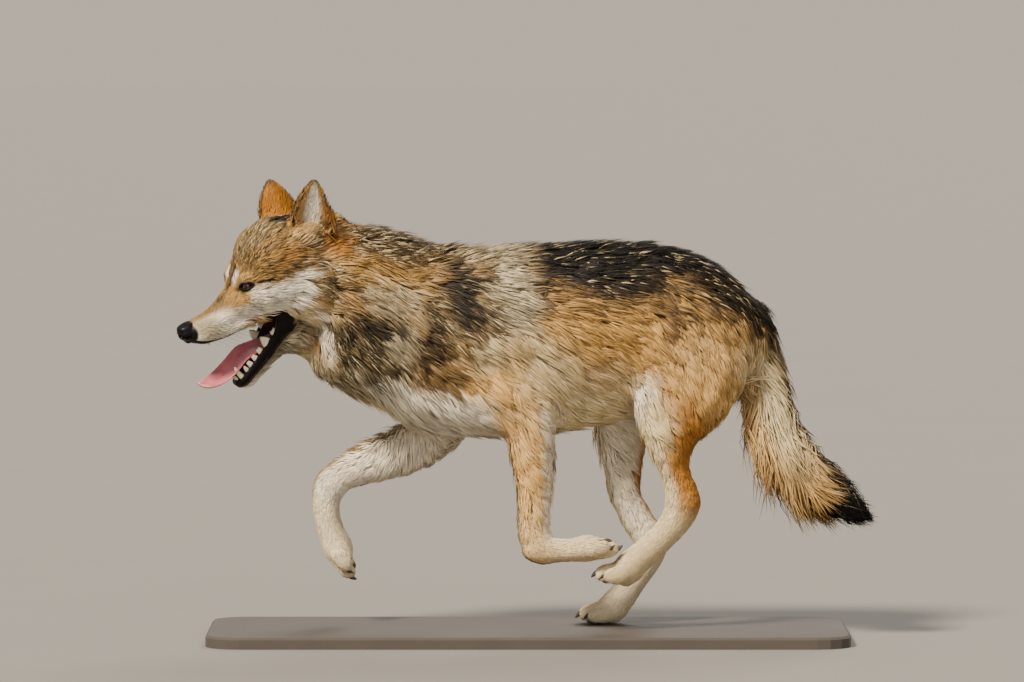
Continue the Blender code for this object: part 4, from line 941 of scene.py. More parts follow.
def colours_at(points, normals, pick):
    """Root, band and tip colours of the coat, and how near each point is to the head."""
    tones = np.repeat(HAIR["tan"][None], len(points), 0)

    def paint(colour, weight, where=slice(None)):
        target = np.repeat(HAIR[colour][None], len(weight), 0)
        if colour in MIXED:
            other, share = MIXED[colour]
            target[pick[where] < share] = HAIR[other]
        tones[where] += (target - tones[where]) * weight[:, None, None]

    # marks have ragged edges, less so on the head: how far they stray, and over what size
    rough = np.interp(points[:, 1], (-0.45, -0.33), (0.35, 1.0))[:, None]
    ragged = points
    for first_seed, stray, size in ((1, 0.013, 0.034), (4, 0.010, 0.012), (7, 0.008, 0.002)):
        ragged = ragged + stray * rough * np.stack(
            [speckle(points, size, first_seed + axis) for axis in range(3)], 1)
    in_head, in_jaw = carried(to_head, ragged), carried(to_jaw, points)
    headness = np.maximum(inside(CRANIUM, in_head), inside(MUZZLE, in_head))
    headness = np.maximum(headness, inside(UNDER_JAW, in_jaw) * (in_jaw[:, 2] < -0.060))
    in_head = carried(to_head, points)
    on_ears = rising(in_head[:, 2], 0.055, 0.01) * (in_head[:, 1] < 0.21) * (in_head[:, 1] > 0)
    headness = np.maximum(headness, on_ears)

    paint("cream", np.minimum(rising(-normals[:, 2], 0.25, 1) * 1.5, 0.8))
    paint("grizzled", rising(points[:, 2], 0.60, 0.08) * 0.6)
    for colour, y, z, long, tall, tilt, strength, softness in SIDE_MARKS:
        c, s = math.cos(math.radians(tilt)), math.sin(math.radians(tilt))
        back, up = ragged[:, 1] - y, ragged[:, 2] - z
        along, across = (back * c + up * s) / long, (up * c - back * s) / tall
        paint(colour, strength * fade(np.sqrt(along * along + across * across), softness))
    mark_legs(paint, points)
    mark_tail(paint, points)
    near = np.flatnonzero(headness > 0.001)
    mark_face(paint, points[near], ragged[near], headness[near], near)
    mark_ears(paint, points[near], normals[near], near)
    return tones, headness


# ====================================================================== skin
# One hide over the whole animal: short underfur on skin over most of it, with
# bare black leather at the lips and lids and wet flesh inside the mouth, its pink painted down to a dark
# red-brown as the shade in the mouth's hollow.
SKIN_KEPT = 0.30                 # share of the sculpted faces that the hide keeps


def node(tree, kind, links=None, values=None, **settings):
    """Adds a shader node with its settings, input values and incoming links."""
    made = tree.nodes.new(kind)
    for key, value in settings.items():
        setattr(made, key, value)
    for key, value in (values or {}).items():
        made.inputs[key].default_value = value
    for key, source in (links or {}).items():
        tree.links.new(source, made.inputs[key])
    return made


def material(name, **shader):
    """A material with a Principled shader whose own values are these."""
    made = bpy.data.materials.new(name)
    made.use_nodes = True
    made.node_tree.nodes.clear()
    surface = node(made.node_tree, "ShaderNodeBsdfPrincipled", values=shader)
    node(made.node_tree, "ShaderNodeOutputMaterial", {"Surface": surface.outputs[0]})
    return made, made.node_tree, surface


def rgba(hex_colour):
    return (*linear(hex_colour), 1.0)


def attribute(mesh, name, kind, values):
    """A named value for every point of a mesh."""
    values = np.asarray(values, np.float32)
    if kind == "FLOAT_COLOR":
        values = np.concatenate([values, np.ones((len(values), 1), np.float32)], 1)
    key = {"FLOAT": "value", "FLOAT_COLOR": "color", "FLOAT_VECTOR": "vector"}[kind]
    mesh.attributes.new(name, kind, "POINT").data.foreach_set(key, values.ravel())


points, triangles, quads = head.surface(head.away)
skin = new_mesh("skin", carried(HEAD, points), triangles, quads)
torso = new_mesh("torso", *body.surface(body.away))
join = skin.modifiers.new("join", "BOOLEAN")
join.operation, join.solver, join.object = "UNION", "MANIFOLD", torso
thin = skin.modifiers.new("thin", "DECIMATE")
thin.ratio = SKIN_KEPT
hide_mesh = bpy.data.meshes.new_from_object(skin.evaluated_get(bpy.context.evaluated_depsgraph_get()))
skin.modifiers.clear()
skin.data = hide_mesh
bpy.data.objects.remove(torso)
hide_mesh.materials.clear()
hide_mesh.polygons.foreach_set("use_smooth", np.ones(len(hide_mesh.polygons), bool))
hide_mesh.calc_loop_triangles()
skin_points = read(hide_mesh.vertices, "co", 3).astype(float)
skin_faces = read(hide_mesh.loop_triangles, "vertices", 3, np.int32)
skin_out = read(hide_mesh.vertex_normals, "vector", 3).astype(float)

BARE = (  # where skin is bare: the part it lies by, how far from it, and how wide the edge is
    (mouth_near, 0.0022, 0.0016), (lip_line, 0.0012, 0.0016),
    (slit_near, 0.0026, 0.0012), (nose_near, 0.0010, 0.0016))
WEB_AT, WEB_SIZE = (0.042, 0.024, -0.085), (0.026, 0.027, 0.026)
# the black edges of both lips: places back from the eyes, and the edge's height at each
UPPER_LIP = ((-0.127, -0.104, -0.083, -0.050, -0.020, -0.007, 0.010, 0.034),
             (-0.0560, -0.0655, -0.0705, -0.0710, -0.0665, -0.0610, -0.0540, -0.0580))
LOWER_LIP = ((-0.112, -0.080, -0.040, -0.010, 0.030), (-0.0950, -0.0960, -0.0950, -0.0900, -0.0840))


def by_the_head(points):
    """Which points lie in the head's block of clay, and where they are in its axes."""
    local = carried(to_head, points)
    low, high = np.array(HEAD_BOX) + np.array([[2], [-2]]) * HEAD_GRAIN
    near = np.flatnonzero(((local > low) & (local < high)).all(1))
    return near, local[near]


def bareness(points):
    """How bare the hide is at points (0 to 1), and how much of that is wet flesh."""
    bare, flesh = np.zeros((2, len(points)))
    near, spot = by_the_head(points)
    parts = [1 - rising(head.sample(part, spot), width, edge) for part, width, edge in BARE]
    # the web of skin at the corner of the mouth
    from_web = (np.abs(spot) * (1, 0, 0) + spot * (0, 1, 1) - WEB_AT) / WEB_SIZE
    from_web = np.linalg.norm(from_web, axis=1) + 0.08 * speckle(spot, 0.004, 21)
    parts.append(1 - rising(from_web, 0.9, 0.15))
    back, up = spot[:, 1], spot[:, 2]
    parts.append((1 - rising(up, np.interp(back, *UPPER_LIP), 0.0012))
                 * (up > -0.084) * (back > -0.130) * (back < 0.034))
    _, back, up = carried(np.linalg.inv(JAW), spot).T
    lower_edge = np.interp(back, *LOWER_LIP) + 0.0012 * speckle(spot, 0.003, 22)
    parts.append(rising(up, lower_edge, 0.0015) * (up < -0.064) * (back < 0.030))
    bare[near] = np.maximum.reduce(parts)
    mouth = head.sample(mouth_near, spot)
    flesh[near] = (1 - rising(mouth, -0.0030, 0.0030)) * (spot[:, 1] > -0.118)
    return bare, flesh


tones, _ = colours_at(skin_points, skin_out, np.ones(len(skin_points)))
bare, flesh = bareness(skin_points)
hairy = np.interp(coat_at(skin_points)[:, 3], (0.009, 0.022), (0.0, 1.0))
underfur = tones[:, 1] * (0.92 - 0.52 * hairy)[:, None] + tones[:, 0] * (0.55 * hairy)[:, None]
attribute(hide_mesh, "underfur", "FLOAT_COLOR", underfur)
# painted shade under the coat: how far the nap darkens the hide, more where the coat is longer
attribute(hide_mesh, "painted_coat_shade", "FLOAT", 0.30 + 0.60 * hairy)
attribute(hide_mesh, "bare", "FLOAT", bare)
attribute(hide_mesh, "flesh", "FLOAT", flesh)

# hide: matt underfur with a fine nap, darkened towards brown-black in patches of the nap as painted shade
# under the coat, most where the coat is long; the bare parts are damp pebbled leather
NAP = 1.43                       # mm; wool is 0.02 mm thick, so its nap is drawn coarse enough to show
PEBBLE = 1.11                    # mm, between the folds of the black skin
BLOTCH = 16.7                    # mm
PAINTED_SHADE_TONE, LEATHER, MOUTH_FLESH_IN_SHADE = "241C12", ("040303", "0F0C0B"), ("1E0E0D", "5A2A28")
hide, tree, shader = material("hide_and_underfur", **{"Roughness": 0.62, "IOR": 1.45,
                                                      "Specular IOR Level": 0.18})
place = node(tree, "ShaderNodeTexCoord").outputs["Object"]
fur_tone, painted_coat_shade, bare_share, flesh_share = (
    node(tree, "ShaderNodeAttribute", attribute_name=name).outputs
    for name in ("underfur", "painted_coat_shade", "bare", "flesh"))
nap = node(tree, "ShaderNodeTexNoise", {"Vector": place}, {"Scale": 1000 / NAP, "Detail": 3.0})
pebbles = node(tree, "ShaderNodeTexVoronoi", {"Vector": place}, {"Scale": 1000 / PEBBLE})
blotch = node(tree, "ShaderNodeTexNoise", {"Vector": place}, {"Scale": 1000 / BLOTCH, "Detail": 4.0})
# the hide is darkened towards the painted shade tone where the nap's noise is high, as shade under the coat
shaded = node(tree, "ShaderNodeMath", {0: nap.outputs["Fac"], 1: painted_coat_shade["Fac"]},
              operation="MULTIPLY")
# a Mix node's colour inputs are its 7th and 8th, and its colour output is its 3rd
shaded_underfur = node(tree, "ShaderNodeMix", {0: shaded.outputs[0], 6: fur_tone["Color"]},
              {7: rgba(PAINTED_SHADE_TONE)}, data_type="RGBA")
# the mouth's flesh is a dark red-brown, painted shade for the hollow of the mouth
leather, wet = (node(tree, "ShaderNodeMix", {0: blotch.outputs["Fac"]},
                     {6: rgba(dark), 7: rgba(light)}, data_type="RGBA")
                for dark, light in (LEATHER, MOUTH_FLESH_IN_SHADE))
fleshy = node(tree, "ShaderNodeMix", {0: flesh_share["Fac"], 6: leather.outputs[2],
                                      7: wet.outputs[2]}, data_type="RGBA")
colour = node(tree, "ShaderNodeMix", {0: bare_share["Fac"], 6: shaded_underfur.outputs[2],
                                      7: fleshy.outputs[2]}, data_type="RGBA")
tree.links.new(colour.outputs[2], shader.inputs["Base Color"])
gloss = node(tree, "ShaderNodeMapRange", {"Value": bare_share["Fac"]}, {"To Min": 0.75, "To Max": 0.36})
tree.links.new(gloss.outputs[0], shader.inputs["Roughness"])
relief = node(tree, "ShaderNodeMix", {0: bare_share["Fac"], 2: nap.outputs["Fac"],
                                      3: pebbles.outputs["Distance"]})
bump = node(tree, "ShaderNodeBump", {"Height": relief.outputs[0]},
            {"Strength": 0.45, "Distance": 0.0006})
tree.links.new(bump.outputs[0], shader.inputs["Normal"])
skin.data.materials.append(hide)
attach(skin, "root")
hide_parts(*FLESH)

# ======================================================================= coat
# Guard hairs in thin overlapping tufts, each a closed three-sided blade that
# grows out of the hide and lies back along the body, clumped into loose locks.
# Wolf hair is pale wool at the root, a tan or cream band, and a darker tip.
rng = np.random.default_rng(41)
DENSITY = 1.0         # share of the tufts that are made


def distance(points):
    """How far points are outside the skin, from both blocks of clay."""
    away = body.sample(body.away, points)
    near, local = by_the_head(points)
    away[near] = np.minimum(away[near], head.sample(head.away, local))
    return away


def outward(points, step=0.0025):
    """The direction away from the skin."""
    total = np.zeros((len(points), 3))
    for corner in ((1, -1, -1), (-1, -1, 1), (-1, 1, -1), (1, 1, 1)):
        corner = np.array(corner, float)
        total += corner * distance(points + corner * step)[:, None]
    return total / (np.linalg.norm(total, axis=1, keepdims=True) + 1e-12)


def unit(vectors):
    return vectors / (np.linalg.norm(vectors, axis=-1, keepdims=True) + 1e-12)


def flat_on(vectors, normals):
    """Vectors laid into the plane across the normals."""
    return unit(vectors - normals * (vectors * normals).sum(1, keepdims=True))


# the soles stay bare where the pads are: four under the toes, three behind them
PADS = (  # sideways, ahead, above; half width, half length, half height
    (-0.0235, -0.001, -0.0075, 0.0072, 0.0105, 0.0072),
    (-0.0085, 0.012, -0.0060, 0.0074, 0.0115, 0.0076),
    (0.0085, 0.012, -0.0060, 0.0074, 0.0115, 0.0076),
    (0.0235, -0.001, -0.0075, 0.0072, 0.0105, 0.0072),
    (0.0000, -0.020, -0.0090, 0.0150, 0.0120, 0.0066),
    (-0.0085, -0.024, -0.0085, 0.0080, 0.0090, 0.0062),
    (0.0085, -0.024, -0.0085, 0.0080, 0.0090, 0.0062),
)
PAD_EDGE = 1.35                  # how far out hair stays off a pad, in squared half sizes


def on_pads(points):
    covered = np.zeros(len(points), bool)
    for leg, turn in foot_turns.items():
        local = (points - leg_paths[leg][-1]) @ turn
        for row in PADS:
            covered |= (((local - row[:3]) / np.array(row[3:])) ** 2).sum(1) < PAD_EDGE
    return covered


# candidate roots all over the hide, far more than are kept
CANDIDATES = 1100000
corners = skin_points[skin_faces]
areas = np.linalg.norm(np.cross(corners[:, 1] - corners[:, 0], corners[:, 2] - corners[:, 0]),
                       axis=1) / 2
chosen = np.searchsorted(np.cumsum(areas), rng.random(CANDIDATES) * areas.sum())
chosen = np.minimum(chosen, len(areas) - 1)
u, v = rng.random((2, CANDIDATES))
flip = u + v > 1
u, v = np.where(flip, 1 - u, u), np.where(flip, 1 - v, v)
weights = np.stack([1 - u - v, u, v], 1)
roots = (corners[chosen] * weights[:, :, None]).sum(1)
root_out = unit((skin_out[skin_faces[chosen]] * weights[:, :, None]).sum(1))
lengths = coat_at(corners.mean(1))[chosen, 3]
# one root is kept in each cell of a loose grid, finer where the hair is shorter
SPACINGS = (  # hair from this length, and up to this; size of a cell
    (0.000, 0.0088, 0.00165), (0.0088, 0.013, 0.0024), (0.013, 0.024, 0.0029), (0.024, 1.0, 0.00325))
CELLS = 8192                     # cells that can be told apart along each axis
kept = []
for shortest, longest, spacing in SPACINGS:
    band = np.flatnonzero((lengths >= shortest) & (lengths < longest))
    cell = np.floor(roots[band] / (spacing / math.sqrt(DENSITY))).astype(np.int64) + CELLS // 2
    key = (cell[:, 0] * CELLS + cell[:, 1]) * CELLS + cell[:, 2]
    kept.append(band[np.unique(key, return_index=True)[1]])
kept = np.sort(np.concatenate(kept))
SOLE_TOP = 0.026                 # under this height is the sole of the standing foot
bare, _ = bareness(roots[kept])
hidden = (roots[kept, 2] < SOLE_TOP) | on_pads(roots[kept])
kept = kept[(bare < 0.35) & ~hidden]
roots, root_out = roots[kept], root_out[kept]
grown = coat_at(roots)
lie, lengths, depths = grown[:, :3], grown[:, 3], grown[:, 4]
count = len(roots)
short = lengths < 0.020

# locks: each root leans towards the tip of the nearest of the locks' seeds, and
# the hairs of one lock share a way of lying, a rise and a tint
seeds = np.flatnonzero(rng.random(count) < np.where(short, 1 / 8, 1 / 24))
nearest_seed = KDTree(len(seeds))
for k, spot in enumerate(roots[seeds]):
    nearest_seed.insert(spot, k)
nearest_seed.balance()
lock = np.fromiter((nearest_seed.find(spot)[1] for spot in roots), int, count)
lock_wander, lock_rise, lock_length, lock_tint = rng.normal(0, 1, (4, len(seeds)))


def around(values, middle, reach):
    """1 at the middle, falling to 0 at the reach on either side."""
    return np.clip(1 - np.abs(values - middle) / reach, 0, 1)


wander = (np.where(short, 0.10, 0.17) * speckle(roots, 0.032, 11)
          + np.where(short, 0.05, 0.15) * lock_wander[lock] + 0.08 * rng.standard_normal(count))
# the hair beside the tail's root hangs down
hanging = around(roots[:, 1], 0.385, 0.050) * around(roots[:, 2], 0.450, 0.060)
lie = flat_on(lie - hanging[:, None] * (0, 0, 2.5), root_out)
lie = unit(lie + np.cross(root_out, lie) * wander[:, None])
lengths = lengths * rng.uniform(0.75, 1.12, count) * np.clip(1 + 0.12 * lock_length[lock], 0.7, 1.3)
rise = depths * rng.uniform(0.45, 1.0, count) * np.clip(1 + 0.16 * lock_rise[lock], 0.6, 1.35)
# one hair in six of the long coat is a guard hair that overtops the rest
guard = ~short & (rng.random(count) < 0.17)
lengths = lengths * np.where(guard, rng.uniform(1.25, 1.6, count), 1)
rise = rise * np.where(guard, 1.18, 1)
# the long hair under the tail hangs away from it
LONGEST = 0.088
rear = near_tail(roots, 0.35)
rear = rear[roots[rear, 2] < 0.56]
t, offset, away, way = beside(roots[rear], dense_tail)
top = (offset * square_to(way, -1)).sum(1) / (away + 1e-9)
under_tail = (falling(top, 0.4, 1) * (away < 0.050)
              * rising(t, 0.08, 0.12) * falling(t, 0.72, 0.35))
lengths[rear] = np.minimum(lengths[rear] * (1 + 0.35 * under_tail), LONGEST)
rise[rear] *= 1 + 0.80 * under_tail
# the mane over the nape and withers stands up, most on its crest
mane = around(roots[:, 1], -0.250, 0.14) * rising(root_out[:, 2], 0.1, 0.6)
rise = rise + mane * rng.uniform(0.0, 0.012, count)

ROOT_DEPTH = 0.0015
RISEN = (0.66, 1.0)              # share of the rise halfway along a tuft, and at its tip


def centre_lines(lengths, rise):
    """Points down the middle of each tuft, laid over the skin, with the way out there."""
    spots, outs = [roots - root_out * ROOT_DEPTH], [root_out]
    spot, way = roots, lie
    for share in RISEN:
        ahead = spot + way * lengths[:, None] * 0.5
        out = outward(ahead)
        wanted = rise * share
        step = np.clip(wanted - distance(ahead), -0.012 - wanted, 0.006 + wanted)
        fixed = ahead + out * step[:, None]
        spots.append(fixed)
        outs.append(out)
        spot = fixed - out * wanted[:, None]
        way = flat_on(way, out)
    return spots, outs


spots, outs = centre_lines(lengths, rise)
# hairs that would reach over the open mouth are short ones
over_mouth = np.zeros(count, bool)
for part in spots[1:]:
    near, local = by_the_head(part)
    over_mouth[near] |= head.sample(mouth_near, local) < 0.0015
    over_mouth[near] |= distance(part[near]) > rise[near] + 0.004
lengths = lengths * np.where(over_mouth, 0.4, 1)
spots, outs = centre_lines(lengths, rise * np.where(over_mouth, 0.5, 1))
LEAN_LIMIT = 0.018               # the farthest that a lock draws a tip aside
pull = np.where(short, 0.25, 0.58) * rng.uniform(0.6, 1.1, count)
lean = spots[2][seeds][lock] - spots[2]
lean = lean * np.minimum(1, LEAN_LIMIT / (np.linalg.norm(lean, axis=1) + 1e-9))[:, None]
spots[2] = spots[2] + lean * pull[:, None]
spots[1] = spots[1] + lean * (pull * 0.30)[:, None]

# a hair shows its colour beyond its middle, so it takes the marking that is there
_, headness = colours_at(roots, root_out, np.ones(count))
tones, _ = colours_at(roots + (spots[2] - roots) * 0.55, root_out, rng.random(count))
tint = (np.where(short, 0.05, 0.10) * lock_tint[lock]
        + np.where(short, 0.05, 0.09) * rng.standard_normal(count))
tones = tones * np.clip(1 + tint, 0.65, 1.35)[:, None, None]
# short hair is of nearly one colour from root to tip
even = np.interp(lengths, (0.010, 0.030), (0.65, 0.0))[:, None, None]
tones = tones + (tones[:, 1:2] - tones) * even
widths = np.interp(lengths, (0.005, 0.009, 0.013, 0.030, 0.060),
                   (0.00075, 0.00105, 0.0015, 0.0023, 0.0029))
widths = widths * np.where(guard, 0.8, 1)

# which stretch of the animal each tuft belongs to, and its place on the unwrap:
# across is its turn about the stretch's middle line, and along is its place on that
STRETCHES = ("head", "neck", "shoulders", "ribs", "loin", "haunches", "tail",
             "foreleg_left", "foreleg_right", "hindleg_left", "hindleg_right")
stretch = 1 + np.digitize(roots[:, 1], (-0.215, -0.085, 0.055, 0.180))
across, along = np.arctan2(roots[:, 0], roots[:, 2] - 0.53), roots[:, 1].copy()
low = np.flatnonzero(roots[:, 2] < 0.40)
best = np.full(len(low), 0.085)
for leg, path in dense_legs.items():
    t, offset, away, way = beside(roots[low], path)
    mine = (away < best) & (roots[low, 0] * path[0, 0] > 0) & (t > 0.12)
    best = np.where(mine, away, best)
    stretch[low[mine]] = STRETCHES.index(leg)
    across[low[mine]] = np.arctan2(offset[:, 0], (offset * square_to(way, 1)).sum(1))[mine]
    along[low[mine]] = t[mine]
rear = near_tail(roots, 0.34)
t, offset, away, way = beside(roots[rear], dense_tail)
mine = (away < 0.050) & (t > 0.10)
stretch[rear[mine]] = STRETCHES.index("tail")
across[rear[mine]] = np.arctan2(offset[:, 0], (offset * square_to(way, -1)).sum(1))[mine]
along[rear[mine]] = t[mine]
local = carried(to_head, roots)
mine = (headness > 0.5) & (local[:, 1] < 0.17)
stretch[mine] = STRETCHES.index("head")
across[mine] = np.arctan2(local[mine, 0], local[mine, 2] + 0.03)
along[mine] = local[mine, 1]

# a tuft's seven points: three at its root, three at its middle, and its tip
TUFT_RING = np.array([[-0.5, 0.0], [0.5, 0.0], [0.0, 0.42]])   # sideways, outward, in widths
RING_WIDTHS = (0.75, 1.0)
TUFT_ALONG = np.array([0, 0, 0, 0.5, 0.5, 0.5, 1.0])
TUFT_SIDE = np.array([-1, 1, 0, -1, 1, 0, 0])
TUFT_FACES = np.array([[0, 2, 1], [0, 1, 4], [0, 4, 3], [1, 2, 5], [1, 5, 4], [2, 0, 3], [2, 3, 5],
                       [3, 4, 6], [4, 5, 6], [5, 3, 6]])
FIBRES = (2.2, 1.6)              # strands seen across half a tuft, and streaks along it
PATCH = 0.003                    # each tuft's share of the unwrap

# guard hair: dry keratin, a soft broad sheen and no wet gloss. Real hairs are
# 0.1 mm thick, so each tuft is streaked as if it were a few thick ones that show.
guard_hair, tree, shader = material("guard_hair", **{"Roughness": 0.62, "IOR": 1.50,
                                                     "Specular IOR Level": 0.20})
place_along = node(tree, "ShaderNodeAttribute", attribute_name="along").outputs["Fac"]
strand = node(tree, "ShaderNodeAttribute", attribute_name="strand").outputs["Vector"]
TONES = ("root_tone", "band_tone", "tip_tone")
root_tone, band_tone, tip_tone = (node(tree, "ShaderNodeAttribute", attribute_name=name).outputs["Color"]
                                  for name in TONES)
fibres = node(tree, "ShaderNodeTexNoise", {"Vector": strand}, {"Scale": 1.0, "Detail": 2.0})
stray = node(tree, "ShaderNodeMath", {0: fibres.outputs["Fac"]}, {1: 0.30, 2: -0.15},
             operation="MULTIPLY_ADD")
shifted = node(tree, "ShaderNodeMath", {0: place_along, 1: stray.outputs[0]}, operation="ADD")
wool_ends, tip_starts = (node(tree, "ShaderNodeMapRange", {"Value": shifted.outputs[0]},
                              {"From Min": start, "From Max": end}, interpolation_type="SMOOTHSTEP")
                         for start, end in ((0.12, 0.42), (0.50, 0.78)))
banded = node(tree, "ShaderNodeMix", {0: wool_ends.outputs[0], 6: root_tone, 7: band_tone},
              data_type="RGBA")
ended = node(tree, "ShaderNodeMix", {0: tip_starts.outputs[0], 6: banded.outputs[2], 7: tip_tone},
             data_type="RGBA")
shade = node(tree, "ShaderNodeMapRange", {"Value": fibres.outputs["Fac"]},
             {"From Min": 0.25, "From Max": 0.75, "To Min": 0.72, "To Max": 1.16})
lit = node(tree, "ShaderNodeMix", {6: ended.outputs[2], 7: shade.outputs[0]}, {0: 1.0},
           data_type="RGBA", blend_type="MULTIPLY")
tree.links.new(lit.outputs[2], shader.inputs["Base Color"])

for k, name in enumerate(STRETCHES):
    part = np.flatnonzero(stretch == k)
    number = len(part)
    points, shown = np.empty((2, number, 7, 3))
    for ring, size in enumerate(RING_WIDTHS):
        here, out = spots[ring][part], outs[ring][part]
        sideways = unit(np.cross(out, spots[ring + 1][part] - here))
        to_side = sideways[:, None] * TUFT_RING[None, :, :1]
        wide = widths[part, None, None] * size
        three = slice(ring * 3, ring * 3 + 3)
        outwards = out[:, None] * TUFT_RING[None, :, 1:]
        points[:, three] = here[:, None] + (to_side * wide + outwards * wide)
        shown[:, three] = unit(out[:, None] * 1.2 + to_side * 1.5)
    points[:, 6], shown[:, 6] = spots[2][part], outs[2][part]
    faces = (np.arange(number)[:, None, None] * 7 + TUFT_FACES[None]).reshape(-1, 3)
    piece = new_mesh("coat_" + name, points.reshape(-1, 3), faces)
    mesh = piece.data
    attribute(mesh, "custom_normal", "FLOAT_VECTOR", shown.reshape(-1, 3))
    attribute(mesh, "along", "FLOAT", np.tile(TUFT_ALONG, number))
    attribute(mesh, "strand", "FLOAT_VECTOR", np.stack(
        [np.tile(TUFT_SIDE * FIBRES[0], number), np.tile(TUFT_ALONG * FIBRES[1], number),
         np.repeat(rng.uniform(0, 400, number), 7)], 1))
    for j, label in enumerate(TONES):
        attribute(mesh, label, "FLOAT_COLOR", np.repeat(tones[part, j], 7, axis=0))
    middle = np.stack([across[part], along[part]], 1)
    middle = (middle - middle.min(0)) / (np.ptp(middle, axis=0) + 1e-9)
    patch = np.stack([TUFT_SIDE * 0.5, TUFT_ALONG - 0.5], 1) * PATCH
    spread = ((middle * (1 - 2 * PATCH) + PATCH)[:, None] + patch[None]).reshape(-1, 2)
    unwrap = mesh.uv_layers.new(name="OFBake")
    corners = read(mesh.loops, "vertex_index", 1, np.int32)[:, 0]
    unwrap.data.foreach_set("uv", spread[corners].astype(np.float32).ravel())
    mesh.materials.append(guard_hair)
    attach(piece, "root")

# ======================================================================= eyes
# Balls 25 mm across under the lids, with a bulging cornea, a dark amber iris
# drawn in fine spokes round a black pupil, and a near-black rim.
CORNEA_BULGE, CORNEA_ANGLE = 0.0012, math.radians(36)
IRIS, PUPIL = 0.0064, 0.0029     # radii seen from in front
AMBER, EYE_RIM = ("2C1707", "7C4814"), "0C0705"
SPOKE = 9.0                      # how finely the iris is streaked, round a circle of radius 1
EYE_DOWN, EYE_ROUND = 40, 48     # rings from front to back, and points in each

# wet eye: tears over the cornea give one small hard glint over a soft dark iris
wet_eye, tree, shader = material("wet_eye", **{"Roughness": 0.22, "IOR": 1.376, "Coat Weight": 1.0,
                                               "Coat Roughness": 0.02, "Coat IOR": 1.40})
from_axis = node(tree, "ShaderNodeAttribute", attribute_name="from_axis").outputs["Fac"]
spoke = node(tree, "ShaderNodeAttribute", attribute_name="spoke").outputs["Vector"]
spokes = node(tree, "ShaderNodeTexNoise", {"Vector": spoke}, {"Scale": SPOKE, "Detail": 3.0})
amber = node(tree, "ShaderNodeMix", {0: spokes.outputs["Fac"]},
             {6: rgba(AMBER[0]), 7: rgba(AMBER[1])}, data_type="RGBA")
iris_share = node(tree, "ShaderNodeValToRGB", {"Fac": from_axis})
ramp = iris_share.color_ramp.elements
ramp[0].color = ramp[1].color = (0, 0, 0, 1)
for radius, share in ((PUPIL * 0.94, 0.0), (PUPIL * 1.06, 1.0), (IRIS * 0.82, 1.0), (IRIS, 0.0)):
    ramp.new(radius / EYE_RADIUS).color = (share, share, share, 1)
eye_tone = node(tree, "ShaderNodeMix", {0: iris_share.outputs["Color"], 7: amber.outputs[2]},
                {6: rgba(EYE_RIM)}, data_type="RGBA")
tree.links.new(eye_tone.outputs[2], shader.inputs["Base Color"])

for side, name in ((1, "left"), (-1, "right")):
    tilt = np.linspace(0, math.pi, EYE_DOWN)[1:-1]
    turns = np.linspace(0, 2 * math.pi, EYE_ROUND, endpoint=False)
    reach = EYE_RADIUS + CORNEA_BULGE * np.clip(1 - (tilt / CORNEA_ANGLE) ** 2, 0, 1)
    points, faces = tube(np.stack([np.outer(np.sin(tilt) * reach, np.cos(turns)),
                                   np.outer(np.sin(tilt) * reach, np.sin(turns)),
                                   np.repeat((np.cos(tilt) * reach)[:, None], EYE_ROUND, 1)], -1))
    points[-2:] = (0, 0, EYE_RADIUS + CORNEA_BULGE), (0, 0, -EYE_RADIUS)
    ball = new_mesh("eye_ball_" + name, points, faces)
    off_axis = np.hypot(points[:, 0], points[:, 1])
    attribute(ball.data, "from_axis", "FLOAT", np.where(points[:, 2] > 0, off_axis / EYE_RADIUS, 1.0))
    turn = np.arctan2(points[:, 1], points[:, 0])
    attribute(ball.data, "spoke", "FLOAT_VECTOR",
              np.stack([np.cos(turn), np.sin(turn), off_axis * 60], 1))
    look = HEAD_TURN.to_3x3() @ Vector((GAZE.x * side, GAZE.y, GAZE.z))
    centre = Vector(carried(HEAD, np.array(EYE_AT) * (side, 1, 1)))
    ball.data.transform(Matrix.Translation(centre) @ look.to_track_quat("Z", "Y").to_matrix().to_4x4())
    ball.data.materials.append(wet_eye)
    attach(ball, "root")
    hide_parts("eye_" + name)

# =================================================================== nose pad
# Hairless pebbled black leather, damp, with comma-shaped nostrils and a groove
# down its middle. It is one piece let into the end of the muzzle.
NOSE_GRAIN, NOSE_REACH = 0.0009, 10.0
NOSE_CELL, NOSE_DUST = 1.0, 8.33     # mm: its pebbles, and the patches of dust
nose = Clay(((-0.030, -0.158, -0.085), (0.030, -0.095, -0.015)), NOSE_GRAIN, NOSE_REACH)
for centre, radii, blend in (
        ((0, -0.1300, -0.0455), (0.0140, 0.0110, 0.0125), 0.004),       # front
        ((0.0085, -0.1270, -0.0460), (0.0085, 0.0135, 0.0105), 0.004),  # wings
        ((0, -0.1270, -0.0360), (0.0125, 0.0130, 0.0060), 0.004),       # top
        ((0, -0.1180, -0.0400), (0.0130, 0.0150, 0.0100), 0.005)):      # back
    nose.egg(centre, radii, blend=blend, both=True)
nose.egg((0, -0.1265, -0.0575), (0.0058, 0.0085, 0.0085), blend=0.004)  # foot, over the lip's cleft
for centre, radii in (((0.0068, -0.1400, -0.0455), (0.0034, 0.0050, 0.0036)),   # nostril
                      ((0.0108, -0.1370, -0.0475), (0.0040, 0.0050, 0.0022)),   # and its tail
                      ((0.0140, -0.1310, -0.0490), (0.0030, 0.0060, 0.0012))):
    nose.egg(centre, radii, blend=0.0012, cut=True, both=True)
nose.egg((0, -0.1420, -0.0520), (0.0007, 0.0050, 0.0130), blend=0.0016, cut=True)    # groove
points, triangles, quads = nose.surface(nose.away)
nose_pad = new_mesh("nose_leather", carried(HEAD, points), triangles, quads)


